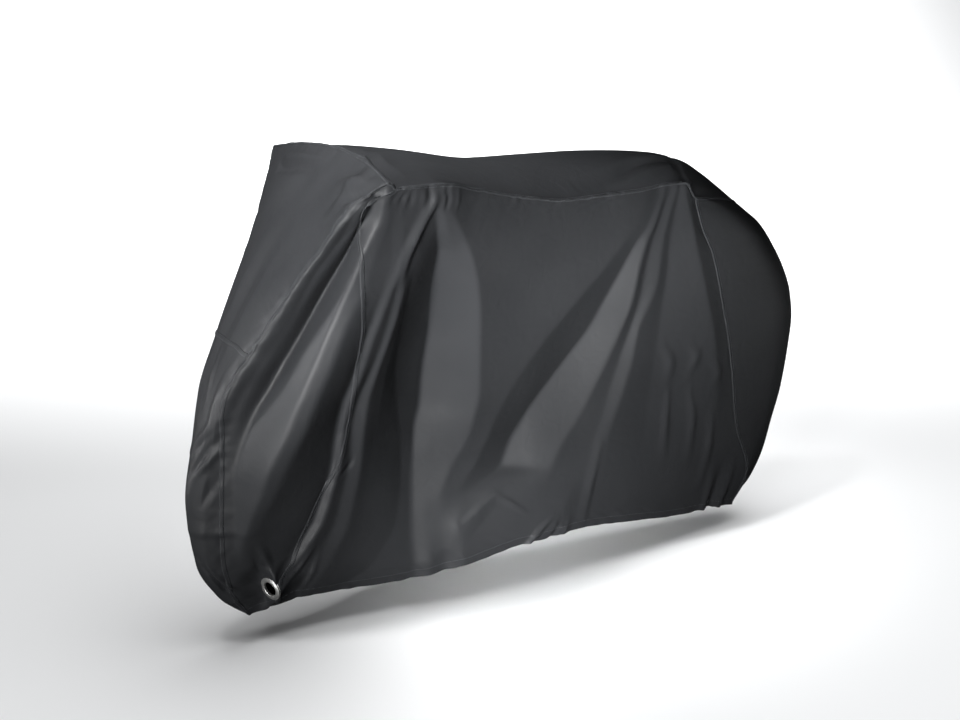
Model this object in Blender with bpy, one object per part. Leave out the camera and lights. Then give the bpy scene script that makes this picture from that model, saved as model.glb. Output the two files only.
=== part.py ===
"""Fitted bicycle cover, empty, in the shape it takes over an upright adult bicycle.

Lengths are in metres. The tables measure from the ground below the middle of the wheelbase:
x runs back along the bicycle (its front is at -x), y across it, and height up from the ground.
The left side, at -y, is the one that the folds are worked out on. ORIGIN moves it all to the
point inside the top where the saddle carries the cover.
"""
import math

import bmesh
import bpy
import numpy as np
from mathutils import Matrix, Vector

MM = 0.001

# ---- driving dimensions ----
SHEET = 0.002             # thickness of the coated cloth
SEAM_GAP = 0.0007         # between two panels at a seam
ORIGIN = (0.36, 0.0, 1.045)

EYELET_AT = (0.60, 0.62)           # share of its strip's width from the front seam, and of its height
EYELET_HOLE = 0.0175               # radius of the clear hole
EYELET_RIM = 0.0285                # radius of its flanges
CLOTH_HOLE = 0.0224                # radius of the hole cut in the cloth
COLLAR = 0.034                     # radius of the flat cloth that the flanges hold
EYELET_FACING = (-0.90, -0.40, -0.17)
EYELET_STEPS = 28
FLAT_ROUND_EYELET = (0.030, 0.065)  # the folds fade in between these distances from it

# Shares of the height, from the top edge down to the hem, and the steps in each band
CROSS_JOIN = 0.37                  # the join across the front panel
STRIP_TOP = 0.855                  # the top of the strips that hold the eyelets
ROW_BANDS = ((0.0, CROSS_JOIN, 8), (CROSS_JOIN, STRIP_TOP, 10), (STRIP_TOP, 1.0, 4))
STRIP_RINGS = 3                    # rings of cloth between a strip's border and the flat collar

# ---- sections that run from the top edge down to the hem: (height, x, half width) ----
RIBS = {
    "front_crest": ((1.118, -0.455, 0.0), (1.05, -0.510, 0.0), (0.95, -0.598, 0.0), (0.82, -0.684, 0.0),
                    (0.72, -0.736, 0.0), (0.62, -0.779, 0.0), (0.52, -0.808, 0.0), (0.36, -0.840, 0.0),
                    (0.21, -0.825, 0.0), (0.13, -0.786, 0.0), (0.058, -0.712, 0.0)),
    "front_half": ((1.113, -0.468, 0.17), (1.05, -0.520, 0.152), (0.95, -0.592, 0.125), (0.82, -0.676, 0.09),
                   (0.72, -0.730, 0.062), (0.60, -0.782, 0.044), (0.43, -0.812, 0.036), (0.30, -0.820, 0.03),
                   (0.20, -0.809, 0.025), (0.13, -0.778, 0.02), (0.064, -0.714, 0.012)),
    "front_seam": ((1.088, -0.482, 0.315), (1.045, -0.546, 0.280), (0.95, -0.593, 0.225),
                   (0.90, -0.621, 0.195), (0.82, -0.660, 0.155), (0.72, -0.708, 0.112), (0.66, -0.744, 0.092),
                   (0.58, -0.767, 0.072), (0.43, -0.774, 0.060), (0.31, -0.779, 0.052), (0.24, -0.778, 0.045),
                   (0.14, -0.758, 0.034), (0.072, -0.716, 0.022)),
    "side_front": ((1.084, -0.473, 0.315), (1.04, -0.537, 0.289), (0.95, -0.566, 0.250), (0.82, -0.605, 0.202),
                   (0.66, -0.650, 0.157), (0.50, -0.684, 0.123), (0.35, -0.694, 0.098), (0.20, -0.692, 0.070),
                   (0.085, -0.678, 0.040)),
    "bar_seam": ((1.074, -0.462, 0.314), (1.035, -0.528, 0.297), (0.96, -0.524, 0.272), (0.82, -0.508, 0.232),
                 (0.74, -0.499, 0.215), (0.55, -0.503, 0.175), (0.45, -0.518, 0.155), (0.31, -0.582, 0.125),
                 (0.18, -0.632, 0.082), (0.104, -0.646, 0.056)),
    "side_1": ((1.075, -0.376, 0.315), (0.95, -0.385, 0.275), (0.80, -0.400, 0.232), (0.55, -0.420, 0.180),
               (0.30, -0.460, 0.135), (0.086, -0.500, 0.088)),
    "side_2": ((1.049, -0.257, 0.280), (0.95, -0.265, 0.255), (0.80, -0.275, 0.215), (0.55, -0.295, 0.172),
               (0.30, -0.325, 0.150), (0.080, -0.360, 0.118)),
    "side_3": ((1.012, -0.105, 0.232), (0.90, -0.105, 0.211), (0.80, -0.112, 0.186), (0.55, -0.135, 0.158),
               (0.30, -0.165, 0.150), (0.105, -0.195, 0.138)),
    "side_4": ((0.992, 0.010, 0.198), (0.90, 0.012, 0.182), (0.80, 0.006, 0.165), (0.55, -0.005, 0.148),
               (0.30, -0.020, 0.145), (0.132, -0.035, 0.137)),
    "side_5": ((0.987, 0.126, 0.166), (0.80, 0.126, 0.147), (0.55, 0.120, 0.135), (0.30, 0.115, 0.132),
               (0.138, 0.110, 0.120)),
    "side_6": ((0.983, 0.262, 0.134), (0.80, 0.266, 0.131), (0.55, 0.272, 0.130), (0.30, 0.278, 0.125),
               (0.116, 0.285, 0.105)),
    "side_7": ((0.986, 0.351, 0.110), (0.80, 0.372, 0.118), (0.55, 0.400, 0.125), (0.30, 0.430, 0.120),
               (0.088, 0.455, 0.085)),
    "side_8": ((0.984, 0.417, 0.100), (0.80, 0.440, 0.112), (0.55, 0.490, 0.123), (0.30, 0.530, 0.116),
               (0.078, 0.570, 0.068)),
    "rear_seam": ((0.941, 0.457, 0.095), (0.86, 0.483, 0.100), (0.80, 0.512, 0.106), (0.69, 0.540, 0.115),
                  (0.54, 0.575, 0.120), (0.32, 0.622, 0.108), (0.16, 0.690, 0.080), (0.062, 0.672, 0.048)),
    "rear_half": ((0.925, 0.560, 0.056), (0.88, 0.605, 0.070), (0.82, 0.655, 0.078), (0.70, 0.735, 0.080),
                  (0.56, 0.775, 0.080), (0.38, 0.768, 0.074), (0.22, 0.750, 0.060), (0.12, 0.725, 0.042),
                  (0.056, 0.683, 0.026)),
    "rear_crest": ((0.899, 0.662, 0.0), (0.870, 0.702, 0.0), (0.838, 0.744, 0.0), (0.767, 0.801, 0.0),
                   (0.70, 0.842, 0.0), (0.638, 0.868, 0.0), (0.558, 0.880, 0.0), (0.473, 0.873, 0.0),
                   (0.374, 0.859, 0.0), (0.276, 0.831, 0.0), (0.191, 0.811, 0.0), (0.109, 0.770, 0.0),
                   (0.052, 0.696, 0.0)),
}
# The right side's own sections, where it isn't a mirror of the left
RIGHT_RIBS = {
    "front_half": ((1.109, -0.463, 0.16), (1.04, -0.520, 0.140), (0.95, -0.586, 0.118), (0.82, -0.672, 0.085),
                   (0.72, -0.728, 0.060), (0.60, -0.782, 0.044), (0.43, -0.812, 0.036), (0.30, -0.820, 0.03),
                   (0.20, -0.809, 0.025), (0.13, -0.778, 0.02), (0.064, -0.714, 0.012)),
    "front_seam": ((1.083, -0.478, 0.315), (0.99, -0.533, 0.258), (0.90, -0.585, 0.210), (0.80, -0.641, 0.168),
                   (0.705, -0.700, 0.124), (0.60, -0.751, 0.085), (0.50, -0.775, 0.068), (0.31, -0.779, 0.052),
                   (0.24, -0.778, 0.045), (0.14, -0.758, 0.034), (0.072, -0.716, 0.022)),
    "side_front": ((1.080, -0.473, 0.315), (0.99, -0.505, 0.272), (0.90, -0.540, 0.238), (0.80, -0.580, 0.202),
                   (0.66, -0.632, 0.157), (0.50, -0.672, 0.123), (0.35, -0.690, 0.094), (0.20, -0.690, 0.062),
                   (0.060, -0.676, 0.030)),
    "bar_seam": ((1.076, -0.467, 0.314), (0.99, -0.478, 0.282), (0.90, -0.490, 0.255), (0.80, -0.500, 0.228),
                 (0.66, -0.515, 0.190), (0.50, -0.535, 0.158), (0.31, -0.575, 0.118), (0.18, -0.612, 0.072),
                 (0.048, -0.630, 0.036)),
    "side_1": ((1.075, -0.376, 0.315), (0.95, -0.385, 0.275), (0.80, -0.400, 0.232), (0.55, -0.420, 0.180),
               (0.30, -0.460, 0.130), (0.052, -0.510, 0.062)),
}
# Columns of cloth between one section and the next, from the front crest back to the rear crest
STEPS = {
    "front_crest": 3, "front_half": 3, "front_seam": 2, "side_front": 3, "bar_seam": 4, "side_1": 4,
    "side_2": 5, "side_3": 4, "side_4": 4, "side_5": 4, "side_6": 3, "side_7": 2, "side_8": 2,
    "rear_seam": 3, "rear_half": 3,
}
# The top's ridge: (x, height)
RIDGE = ((-0.455, 1.118), (-0.302, 1.100), (-0.093, 1.068), (0.009, 1.069), (0.120, 1.068), (0.244, 1.062),
         (0.376, 1.048), (0.480, 1.020), (0.546, 0.982), (0.600, 0.944), (0.662, 0.899))
CROWN = 1.4               # how round the top is over its ridge: 1 is a sharp tent
LEAD = (0.027, 0.205)     # how far back of the top's side edges its ridge lies, at the front and rear

# ---- folds ----
# A side hangs in flat facets between creases that run down it, from the front seam back to the rear
# seam. Each crease is read as (height, x, how far it stands out in mm).
LEFT_CREASES = {
    "front_edge": ((1.05, -0.542, 0), (0.95, -0.593, 0), (0.82, -0.660, 0), (0.66, -0.744, 0),
                   (0.58, -0.767, 0), (0.43, -0.774, 0), (0.24, -0.778, 0), (0.07, -0.716, 0)),
    "under_welt": ((1.05, -0.522, -6), (0.95, -0.577, -10), (0.82, -0.643, -12), (0.66, -0.726, -12),
                   (0.58, -0.750, -10), (0.50, -0.759, -5), (0.43, -0.762, 0), (0.24, -0.766, 0),
                   (0.07, -0.704, 0)),
    "groove": ((1.03, -0.513, -5), (0.966, -0.552, -10), (0.902, -0.566, -11), (0.835, -0.601, -12),
               (0.769, -0.636, -12), (0.703, -0.675, -12), (0.639, -0.694, -11), (0.571, -0.731, -9),
               (0.498, -0.745, -3), (0.43, -0.752, 0), (0.24, -0.752, 0), (0.07, -0.690, 0)),
    "band_1": ((1.01, -0.503, 2), (0.94, -0.523, 6), (0.88, -0.540, 8), (0.81, -0.551, 10),
               (0.75, -0.567, 15), (0.68, -0.592, 24), (0.62, -0.618, 32), (0.55, -0.643, 36),
               (0.48, -0.675, 36), (0.40, -0.700, 29), (0.33, -0.724, 20), (0.26, -0.740, 9),
               (0.20, -0.735, 0), (0.07, -0.672, 0)),
    "foot_1": ((1.00, -0.465, 0), (0.915, -0.454, -1), (0.86, -0.461, -3), (0.80, -0.475, -9),
               (0.73, -0.490, -20), (0.65, -0.505, -32), (0.575, -0.525, -43), (0.50, -0.534, -50),
               (0.425, -0.540, -53), (0.355, -0.556, -52), (0.285, -0.579, -46), (0.23, -0.613, -36),
               (0.17, -0.646, -22), (0.10, -0.665, -10)),
    "ridge_1": ((1.00, -0.435, 0), (0.915, -0.430, 0), (0.86, -0.443, 0), (0.80, -0.457, -3),
                (0.73, -0.473, -12), (0.655, -0.486, -23), (0.58, -0.506, -32), (0.51, -0.521, -38),
                (0.43, -0.523, -37), (0.36, -0.539, -37), (0.285, -0.562, -30), (0.23, -0.596, -21),
                (0.17, -0.631, -11), (0.10, -0.652, -6)),
    "dip_1": ((1.00, -0.430, -1), (0.915, -0.426, -2), (0.855, -0.431, -6), (0.79, -0.437, -14),
              (0.715, -0.447, -26), (0.645, -0.463, -38), (0.575, -0.485, -46), (0.50, -0.494, -51),
              (0.42, -0.498, -51), (0.345, -0.511, -49), (0.27, -0.529, -42), (0.215, -0.559, -33),
              (0.155, -0.592, -21), (0.10, -0.625, -14)),
    "ridge_2": ((1.00, -0.425, -1), (0.915, -0.421, -3), (0.85, -0.414, -7), (0.79, -0.418, -13),
                (0.715, -0.431, -23), (0.645, -0.446, -34), (0.57, -0.462, -41), (0.49, -0.468, -46),
                (0.41, -0.470, -48), (0.33, -0.481, -47), (0.26, -0.497, -39), (0.20, -0.526, -31),
                (0.15, -0.558, -20), (0.10, -0.595, -14)),
    "slope_2": ((1.01, -0.395, -3), (0.92, -0.397, -8), (0.845, -0.376, -20), (0.77, -0.369, -34),
                (0.69, -0.374, -48), (0.62, -0.388, -62), (0.54, -0.397, -74), (0.465, -0.412, -81),
                (0.39, -0.432, -85), (0.315, -0.444, -82), (0.245, -0.460, -74), (0.19, -0.479, -65),
                (0.145, -0.504, -53), (0.10, -0.540, -40)),
    "valley_2": ((1.025, -0.367, -2), (0.965, -0.347, -14), (0.90, -0.317, -31), (0.82, -0.304, -48),
                 (0.745, -0.291, -64), (0.665, -0.283, -79), (0.59, -0.290, -97), (0.515, -0.293, -109),
                 (0.445, -0.321, -114), (0.375, -0.347, -109), (0.30, -0.353, -101), (0.23, -0.349, -88),
                 (0.17, -0.333, -72), (0.12, -0.324, -58)),
    "face_2": ((1.02, -0.354, 4), (0.97, -0.331, 0), (0.905, -0.297, -14), (0.825, -0.279, -31),
               (0.745, -0.260, -47), (0.665, -0.249, -62), (0.59, -0.250, -79), (0.515, -0.252, -91),
               (0.445, -0.276, -97), (0.375, -0.301, -94), (0.30, -0.305, -87), (0.225, -0.304, -73),
               (0.17, -0.296, -58), (0.12, -0.287, -44)),
    "band_2": ((1.025, -0.340, 4), (0.975, -0.305, 9), (0.915, -0.272, 9), (0.84, -0.236, 5),
               (0.765, -0.213, -4), (0.69, -0.196, -16), (0.615, -0.180, -28), (0.53, -0.160, -42),
               (0.45, -0.150, -54), (0.42, -0.195, -62), (0.39, -0.230, -66), (0.345, -0.250, -66),
               (0.28, -0.265, -60), (0.15, -0.255, -42)),
    "slack_3": ((0.95, 0.240, 1), (0.87, 0.200, 4), (0.80, 0.120, 7), (0.73, 0.050, 8),
                (0.66, -0.010, 4), (0.59, -0.060, -6), (0.52, -0.100, -20), (0.455, -0.130, -34),
                (0.40, -0.160, -46), (0.356, -0.190, -51), (0.30, -0.225, -51), (0.20, -0.240, -40),
                (0.12, -0.200, -26)),
    "valley_3": ((0.97, 0.335, -3), (0.893, 0.296, -8), (0.86, 0.267, -11), (0.792, 0.218, -19),
                 (0.723, 0.177, -27), (0.653, 0.140, -35), (0.586, 0.093, -43), (0.52, 0.045, -50),
                 (0.455, -0.010, -64), (0.389, -0.050, -74), (0.356, -0.075, -76), (0.328, -0.130, -75),
                 (0.299, -0.180, -69), (0.271, -0.215, -59), (0.20, -0.220, -40), (0.12, -0.180, -24)),
    "band_3": ((0.97, 0.350, 2), (0.892, 0.316, 3), (0.858, 0.290, 4), (0.788, 0.268, 4), (0.717, 0.252, 6),
               (0.648, 0.206, 6), (0.578, 0.170, 4), (0.506, 0.143, 0), (0.436, 0.112, -6),
               (0.368, 0.070, -13), (0.297, 0.035, -17), (0.228, -0.010, -17), (0.15, -0.030, -14)),
    "valley_4": ((0.97, 0.370, -1), (0.855, 0.312, -4), (0.786, 0.292, -5), (0.713, 0.276, -5),
                 (0.647, 0.235, -6), (0.574, 0.205, -10), (0.495, 0.190, -12), (0.418, 0.175, -14),
                 (0.346, 0.142, -16), (0.275, 0.110, -14), (0.224, 0.080, -8), (0.15, 0.050, -2)),
    "streak_4": ((0.97, 0.390, 2), (0.85, 0.345, 2), (0.742, 0.326, 3), (0.707, 0.308, 3), (0.64, 0.270, 3),
                 (0.56, 0.255, 2), (0.488, 0.234, 0), (0.414, 0.209, -4), (0.339, 0.190, -6),
                 (0.26, 0.181, -6), (0.17, 0.190, -2)),
    "hollow_4": ((0.97, 0.400, 0), (0.849, 0.372, -2), (0.739, 0.358, -3), (0.665, 0.345, -3),
                 (0.589, 0.336, -3), (0.515, 0.325, -4), (0.437, 0.318, -6), (0.358, 0.310, -6),
                 (0.279, 0.300, -5), (0.18, 0.300, -2)),
    "band_4": ((0.97, 0.415, 3), (0.907, 0.432, 6), (0.839, 0.447, 9), (0.762, 0.465, 12),
               (0.683, 0.485, 14), (0.603, 0.505, 14), (0.522, 0.520, 12), (0.436, 0.535, 8),
               (0.354, 0.535, 4), (0.267, 0.540, 0), (0.17, 0.550, 0)),
    "rear_edge": ((0.941, 0.457, 0), (0.86, 0.483, 0), (0.80, 0.512, 0), (0.69, 0.540, 0), (0.54, 0.575, 0),
                  (0.32, 0.622, 0), (0.16, 0.690, 0), (0.062, 0.672, 0)),
}
CREASE_ROUND = ((0.05, 0.020), (0.40, 0.012), (1.10, 0.010))   # half width of a crease's rounding, by height
ROUND_STEPS = ((-0.75, 1), (-0.5, 2), (-0.25, 3), (0.0, 4), (0.25, 3), (0.5, 2), (0.75, 1))  # and its weights

# Smaller folds are each a crest (or, with a negative rise, a trough) that runs down a panel. Its line
# is read as (height, x) on a side, (height, y) on the front and (x, y) on the top.
# columns: line, rise at its start, middle and end in mm, flank before it at its start and end in mm,
# flank behind it at its start and end in mm, crispness of its crest from 0, round, to 1, creased
LEFT_FOLDS = {
    "welt": (((1.07, -0.515), (0.90, -0.624), (0.80, -0.662), (0.71, -0.711), (0.59, -0.769), (0.47, -0.795)),
             (6, 10, 4), (16, 40), (18, 18), 0.8),
    "grip_pleat": (((1.04, -0.372), (0.93, -0.414), (0.87, -0.426)), (6, 12, 3), (20, 24), (14, 14), 0.9),
}
RIGHT_FOLDS = {
    "bar_trough": (((1.03, -0.500), (0.81, -0.600), (0.60, -0.700)), (-6, -16, -4), (30, 50), (30, 60), 0.4),
    "great_trough": (((1.03, -0.350), (0.70, -0.360), (0.30, -0.420)), (-8, -26, -4), (40, 120), (30, 100), 0.5),
    "great_crest": (((1.02, -0.320), (0.70, -0.240), (0.30, -0.180)), (6, 14, 3), (30, 90), (50, 120), 0.4),
    "long_trough": (((0.93, 0.320), (0.60, 0.120), (0.25, -0.080)), (-4, -20, -5), (60, 110), (30, 60), 0.5),
    "long_crest": (((0.95, 0.372), (0.60, 0.230), (0.25, 0.050)), (5, 14, 4), (30, 80), (30, 60), 0.5),
    "saddle_crest": (((0.94, 0.415), (0.65, 0.510), (0.30, 0.590)), (3, 10, 3), (30, 120), (20, 60), 0.5),
}
FRONT_FOLDS = {
    "middle": (((1.06, -0.02), (0.80, 0.00), (0.62, 0.01)), (4, -9, -2), (60, 40), (60, 40), 0.2),
    "bar_dip": (((1.09, -0.225), (1.05, -0.205), (0.99, -0.18)), (8, 8, 0), (40, 30), (30, 30), 0.5),
}
TOP_FOLDS = {
    "bar_roll": (((-0.47, -0.16), (-0.38, -0.10), (-0.20, -0.05)), (8, 8, 0), (60, 80), (50, 60), 0.3),
    "saddle_crease": (((0.05, -0.09), (0.24, -0.065), (0.41, -0.035)), (0, -12, -4), (30, 26), (40, 26), 0.5),
}
FADE = 0.03               # how far past its ends a fold dies out
FACING = (0.10, 0.55)     # the folds of a panel grow as its cloth turns to face their way


# ---- curves ----
def flow(knots, values, at):
    """Values on a smooth curve through the knots that never overshoots them.

    values holds a number for each knot, or a list of points for each, one for each value of at.
    """
    single = values.ndim == 1
    if single:
        values = np.broadcast_to(values[:, None, None], (len(values), len(at), 1))
    gaps = np.diff(knots)
    rises = np.diff(values, axis=0) / gaps[:, None, None]
    together = rises[:-1] * rises[1:] > 0
    sums = np.where(together, rises[:-1] + rises[1:], 1.0)
    inner = np.where(together, 2 * rises[:-1] * rises[1:] / sums, 0.0)
    slopes = np.concatenate([rises[:1], inner, rises[-1:]])
    k = np.clip(np.searchsorted(knots, at, side="right") - 1, 0, len(gaps) - 1)
    n = np.arange(len(at))
    gap = gaps[k][:, None]
    t = (at - knots[k])[:, None] / gap
    out = (1 + 2 * t) * (1 - t) ** 2 * values[k, n] + t * (1 - t) ** 2 * gap * slopes[k, n]
    out += t * t * (3 - 2 * t) * values[k + 1, n] + t * t * (t - 1) * gap * slopes[k + 1, n]
    return out[:, 0] if single else out


def smooth(low, high, value):
    """0 below low, 1 above high, and a soft step between."""
    t = np.clip((value - low) / (high - low), 0.0, 1.0)
    return t * t * (3 - 2 * t)


def unit(vectors):
    return vectors / np.maximum(np.linalg.norm(vectors, axis=-1, keepdims=True), 1e-12)


# ---- the unfolded cover: a skirt of sections and a roof over it ----
NAMES = list(RIBS)
LOOP = [(name, -1) for name in NAMES] + [(name, 1) for name in NAMES[-2:0:-1]]
LOOP_STEPS = [STEPS[name] for name in NAMES[:-1]] + [STEPS[name] for name in NAMES[-2::-1]]
COLUMN_AT = np.concatenate([[0], np.cumsum(LOOP_STEPS)])
COLUMNS = int(COLUMN_AT[-1])


def column(name, side=-1):
    """The column of cloth that a section lies on, on the left (-1) or the right (1)."""
    return int(COLUMN_AT[LOOP.index((name, side))])


def rib_points(name, side, share):
    """Points down a section, at shares of its height from its top to its hem."""
    rows = RIGHT_RIBS.get(name, RIBS[name]) if side > 0 else RIBS[name]
    table = np.array(rows[::-1])
    height = rows[0][0] + (rows[-1][0] - rows[0][0]) * share
    x = flow(table[:, 0], table[:, 1], height)
    half = flow(table[:, 0], table[:, 2], height)
    return np.stack([x, side * half, height], 1)


def skirt_points(around, share):
    """Points of the skirt, at places around its loop of sections and shares of its height."""
    count = len(LOOP)
    order = range(-2, count + 3)
    sections = np.stack([rib_points(*LOOP[k % count], share) for k in order])
    return flow(np.array(order, float), sections, around)


def roof_points(border):
    """The top between its left and right edges, over its ridge. border holds (across, along) points."""
    across, along = border.shape[:2]
    t = np.linspace(0, 1, along)
    left, right = border[0], border[-1]
    lead = LEAD[0] * (1 - t) ** 2 + LEAD[1] * t ** 3
    ridge_x = (left[:, 0] + right[:, 0]) / 2 + lead
    table = np.array(RIDGE)
    ridge = np.stack([ridge_x, np.zeros(along), flow(table[:, 0], table[:, 1], ridge_x)], 1)
    q = np.abs(np.linspace(-1, 1, across))[:, None, None]
    edge = np.where(np.arange(across)[:, None, None] < across / 2, left, right)
    top = ridge + (edge - ridge) * q
    top[:, :, 2] = (ridge + (edge - ridge) * q ** CROWN)[:, :, 2]
    front = (border[:, :1] - top[:, :1]) * (1 - t)[None, :, None] ** 3
    rear = (border[:, -1:] - top[:, -1:]) * t[None, :, None] ** 3
    return top + front + rear


def row_shares():
    shares = [np.linspace(low, high, steps + 1)[:-1] for low, high, steps in ROW_BANDS]
    return np.concatenate(shares + [[1.0]])


def column_places():
    """Where each column lies around the loop of sections: 0 at the first section, 1 at the next."""
    return np.concatenate([k + np.arange(steps) / steps for k, steps in enumerate(LOOP_STEPS)])


class Shell:
    """The whole cover as one welded skin: its points, and the faces of each panel."""

    def __init__(self):
        self.points = np.zeros((0, 3))
        self.faces = {}

    def add(self, points):
        first = len(self.points)
        self.points = np.concatenate([self.points, points])
        return np.arange(first, first + len(points))

    def patch(self, name, grid):
        """Faces over a grid of point numbers, rows down and columns around."""
        faces = self.faces.setdefault(name, [])
        rows, columns = grid.shape
        for r in range(rows - 1):
            for c in range(columns - 1):
                faces.append((grid[r, c], grid[r + 1, c], grid[r + 1, c + 1], grid[r, c + 1]))

    def normals(self):
        total = np.zeros_like(self.points)
        for faces in self.faces.values():
            corners = np.array(faces)
            p = self.points[corners]
            turn = np.cross(p[:, 2] - p[:, 0], p[:, 3] - p[:, 1])
            for k in range(4):
                np.add.at(total, corners[:, k], turn)
        return unit(total)


def eyelet_frame(side):
    """Where the eyelet sits on the unfolded cloth, and its facing: middle, two axes in it, outward."""
    first, last = LOOP.index(("front_seam", side)), LOOP.index(("bar_seam", side))
    around = first + (last - first) * EYELET_AT[0]
    share = STRIP_TOP + (1 - STRIP_TOP) * EYELET_AT[1]
    middle = skirt_points(np.array([around]), np.array([share]))[0]
    outward = unit(np.array(EYELET_FACING) * (1, -side, 1))
    level = unit(np.cross(outward, (0, 0, 1.0)))
    return around, share, middle, level, np.cross(outward, level), outward


def cut_strip(shell, name, grid, side, shares, places):
    """A strip of cloth with a round hole in a flat collar: rings of points from its border inwards."""
    around, share, middle, level, rising, outward = eyelet_frame(side)
    rows, columns = grid.shape
    walk = [(0, c) for c in range(columns - 1)]
    walk += [(r, columns - 1) for r in range(rows - 1)]
    walk += [(rows - 1, c) for c in range(columns - 1, 0, -1)]
    walk += [(r, 0) for r in range(rows - 1, 0, -1)]
    border = np.array([grid[r, c] for r, c in walk])
    place = np.array([(places[c], shares[r]) for r, c in walk])
    centre = np.array([around, share])
    out = shell.points[border] - middle
    angle = np.unwrap(np.arctan2(out @ rising, out @ level))
    even = angle[0] + np.arange(len(angle)) * np.copysign(2 * math.pi / len(angle), angle[-1] - angle[0])
    angle = (angle + even) / 2
    ray = np.cos(angle)[:, None] * level + np.sin(angle)[:, None] * rising
    near = (COLLAR / np.linalg.norm(out, axis=1))[:, None]
    at_collar = skirt_points(*(centre + (place - centre) * near).T)
    loops = [border]
    for ring in range(1, STRIP_RINGS + 1):
        t = ring / STRIP_RINGS
        on_cloth = skirt_points(*(centre + (place - centre) * (1 + (near - 1) * t)).T)
        loops.append(shell.add(on_cloth + t * t * (middle + COLLAR * ray - at_collar)))
    loops.append(shell.add(middle + CLOTH_HOLE * ray))
    loops = np.array(loops)
    shell.patch(name, np.concatenate([loops, loops[:, :1]], 1))


def lay_out():
    """The cover without its folds: every panel's cloth, welded to its neighbours' along the seams."""
    shell = Shell()
    shares, places = row_shares(), column_places()
    rows = len(shares)
    share_grid, place_grid = np.meshgrid(shares, places, indexing="ij")
    skirt = shell.add(skirt_points(place_grid.ravel(), share_grid.ravel())).reshape(rows, COLUMNS)
    loop_places = np.concatenate([places, places[:1] + len(LOOP)])
    join = int(np.argmin(np.abs(shares - CROSS_JOIN)))
    strip = int(np.argmin(np.abs(shares - STRIP_TOP)))

    def piece(name, first, last, top=0, bottom=rows - 1):
        columns = np.arange(first, last + 1)
        shell.patch(name, skirt[top:bottom + 1][:, columns % COLUMNS])

    seam_left, seam_right = column("front_seam"), column("front_seam", 1)
    bar_left, bar_right = column("bar_seam"), column("bar_seam", 1)
    rear_left, rear_right = column("rear_seam"), column("rear_seam", 1)
    piece("front_panel_upper", seam_right - COLUMNS, seam_left, 0, join)
    piece("front_panel_lower", seam_right - COLUMNS, seam_left, join)
    piece("side_front_left", seam_left, bar_left, 0, strip)
    piece("side_front_right", bar_right, seam_right, 0, strip)
    piece("side_panel_left", bar_left, rear_left)
    piece("side_panel_right", rear_right, bar_right)
    piece("rear_panel", rear_left, rear_right)
    for name, first, last, side in (("eyelet_strip_left", seam_left, bar_left, -1),
                                    ("eyelet_strip_right", bar_right, seam_right, 1)):
        columns = np.arange(first, last + 1)
        cut_strip(shell, name, skirt[strip:][:, columns], side, shares[strip:], loop_places[columns])

    width, length = 2 * seam_left, rear_left - seam_left
    roof = np.zeros((width + 1, length + 1), int)
    roof[:, 0] = skirt[0, (seam_left - np.arange(width + 1)) % COLUMNS]
    roof[:, -1] = skirt[0, rear_left + np.arange(width + 1)]
    roof[0] = skirt[0, seam_left + np.arange(length + 1)]
    roof[-1] = skirt[0, seam_right - np.arange(length + 1)]
    top = roof_points(shell.points[roof])
    inside = shell.add(top[1:-1, 1:-1].reshape(-1, 3))
    roof[1:-1, 1:-1] = inside.reshape(width - 1, length - 1)
    shell.patch("top_panel", roof.T)
    return shell


# ---- folds ----
def crease_rise(creases, height, x):
    """How far the flat facets between a table of creases stand out, in metres."""
    place, depth = [], []
    for rows in creases.values():
        rows = np.array(sorted(rows))
        inside = np.clip(height, rows[0, 0], rows[-1, 0])
        place.append(flow(rows[:, 0], rows[:, 1], inside))
        depth.append(flow(rows[:, 0], rows[:, 2], inside) * MM)
    place, depth = np.maximum.accumulate(place), np.array(depth)
    half = np.interp(height, *zip(*CREASE_ROUND))
    point = np.arange(len(x))
    total = np.zeros(len(x))
    for step, weight in ROUND_STEPS:
        at = x + step * half
        k = np.clip((place <= at).sum(0) - 1, 0, len(place) - 2)
        gap = np.maximum(place[k + 1, point] - place[k, point], 1e-6)
        share = np.clip((at - place[k, point]) / gap, 0, 1)
        total += weight * (depth[k, point] * (1 - share) + depth[k + 1, point] * share)
    return total / sum(weight for step, weight in ROUND_STEPS)


def fold_rise(folds, along, across):
    """How far a table of folds lifts the cloth, in metres."""
    total = np.zeros(len(along))
    for line, rise, before, behind, crisp in folds.values():
        start, end = line[0][0], line[-1][0]
        low, high = min(start, end), max(start, end)
        table = np.array(sorted(line))
        inside = np.clip(along, low, high)
        middle = flow(table[:, 0], table[:, 1], inside)
        step = 0.01
        ahead = flow(table[:, 0], table[:, 1], np.clip(along + step, low, high))
        behind_it = flow(table[:, 0], table[:, 1], np.clip(along - step, low, high))
        lean = (ahead - behind_it) / (2 * step)
        distance = (across - middle) / np.sqrt(1 + lean * lean)
        share = (inside - start) / (end - start)
        flank = np.where(distance < 0, np.interp(share, (0, 1), before), np.interp(share, (0, 1), behind))
        reach = np.clip(np.abs(distance) / (flank * MM), 0, 1)
        profile = crisp * (1 - reach) + (1 - crisp) * (0.5 + 0.5 * np.cos(math.pi * reach))
        beyond = np.maximum(low - along, along - high)
        height = np.interp(share, (0, 0.5, 1), rise) * MM
        total += height * profile * (1 - smooth(0, FADE, beyond))
    return total


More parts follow.
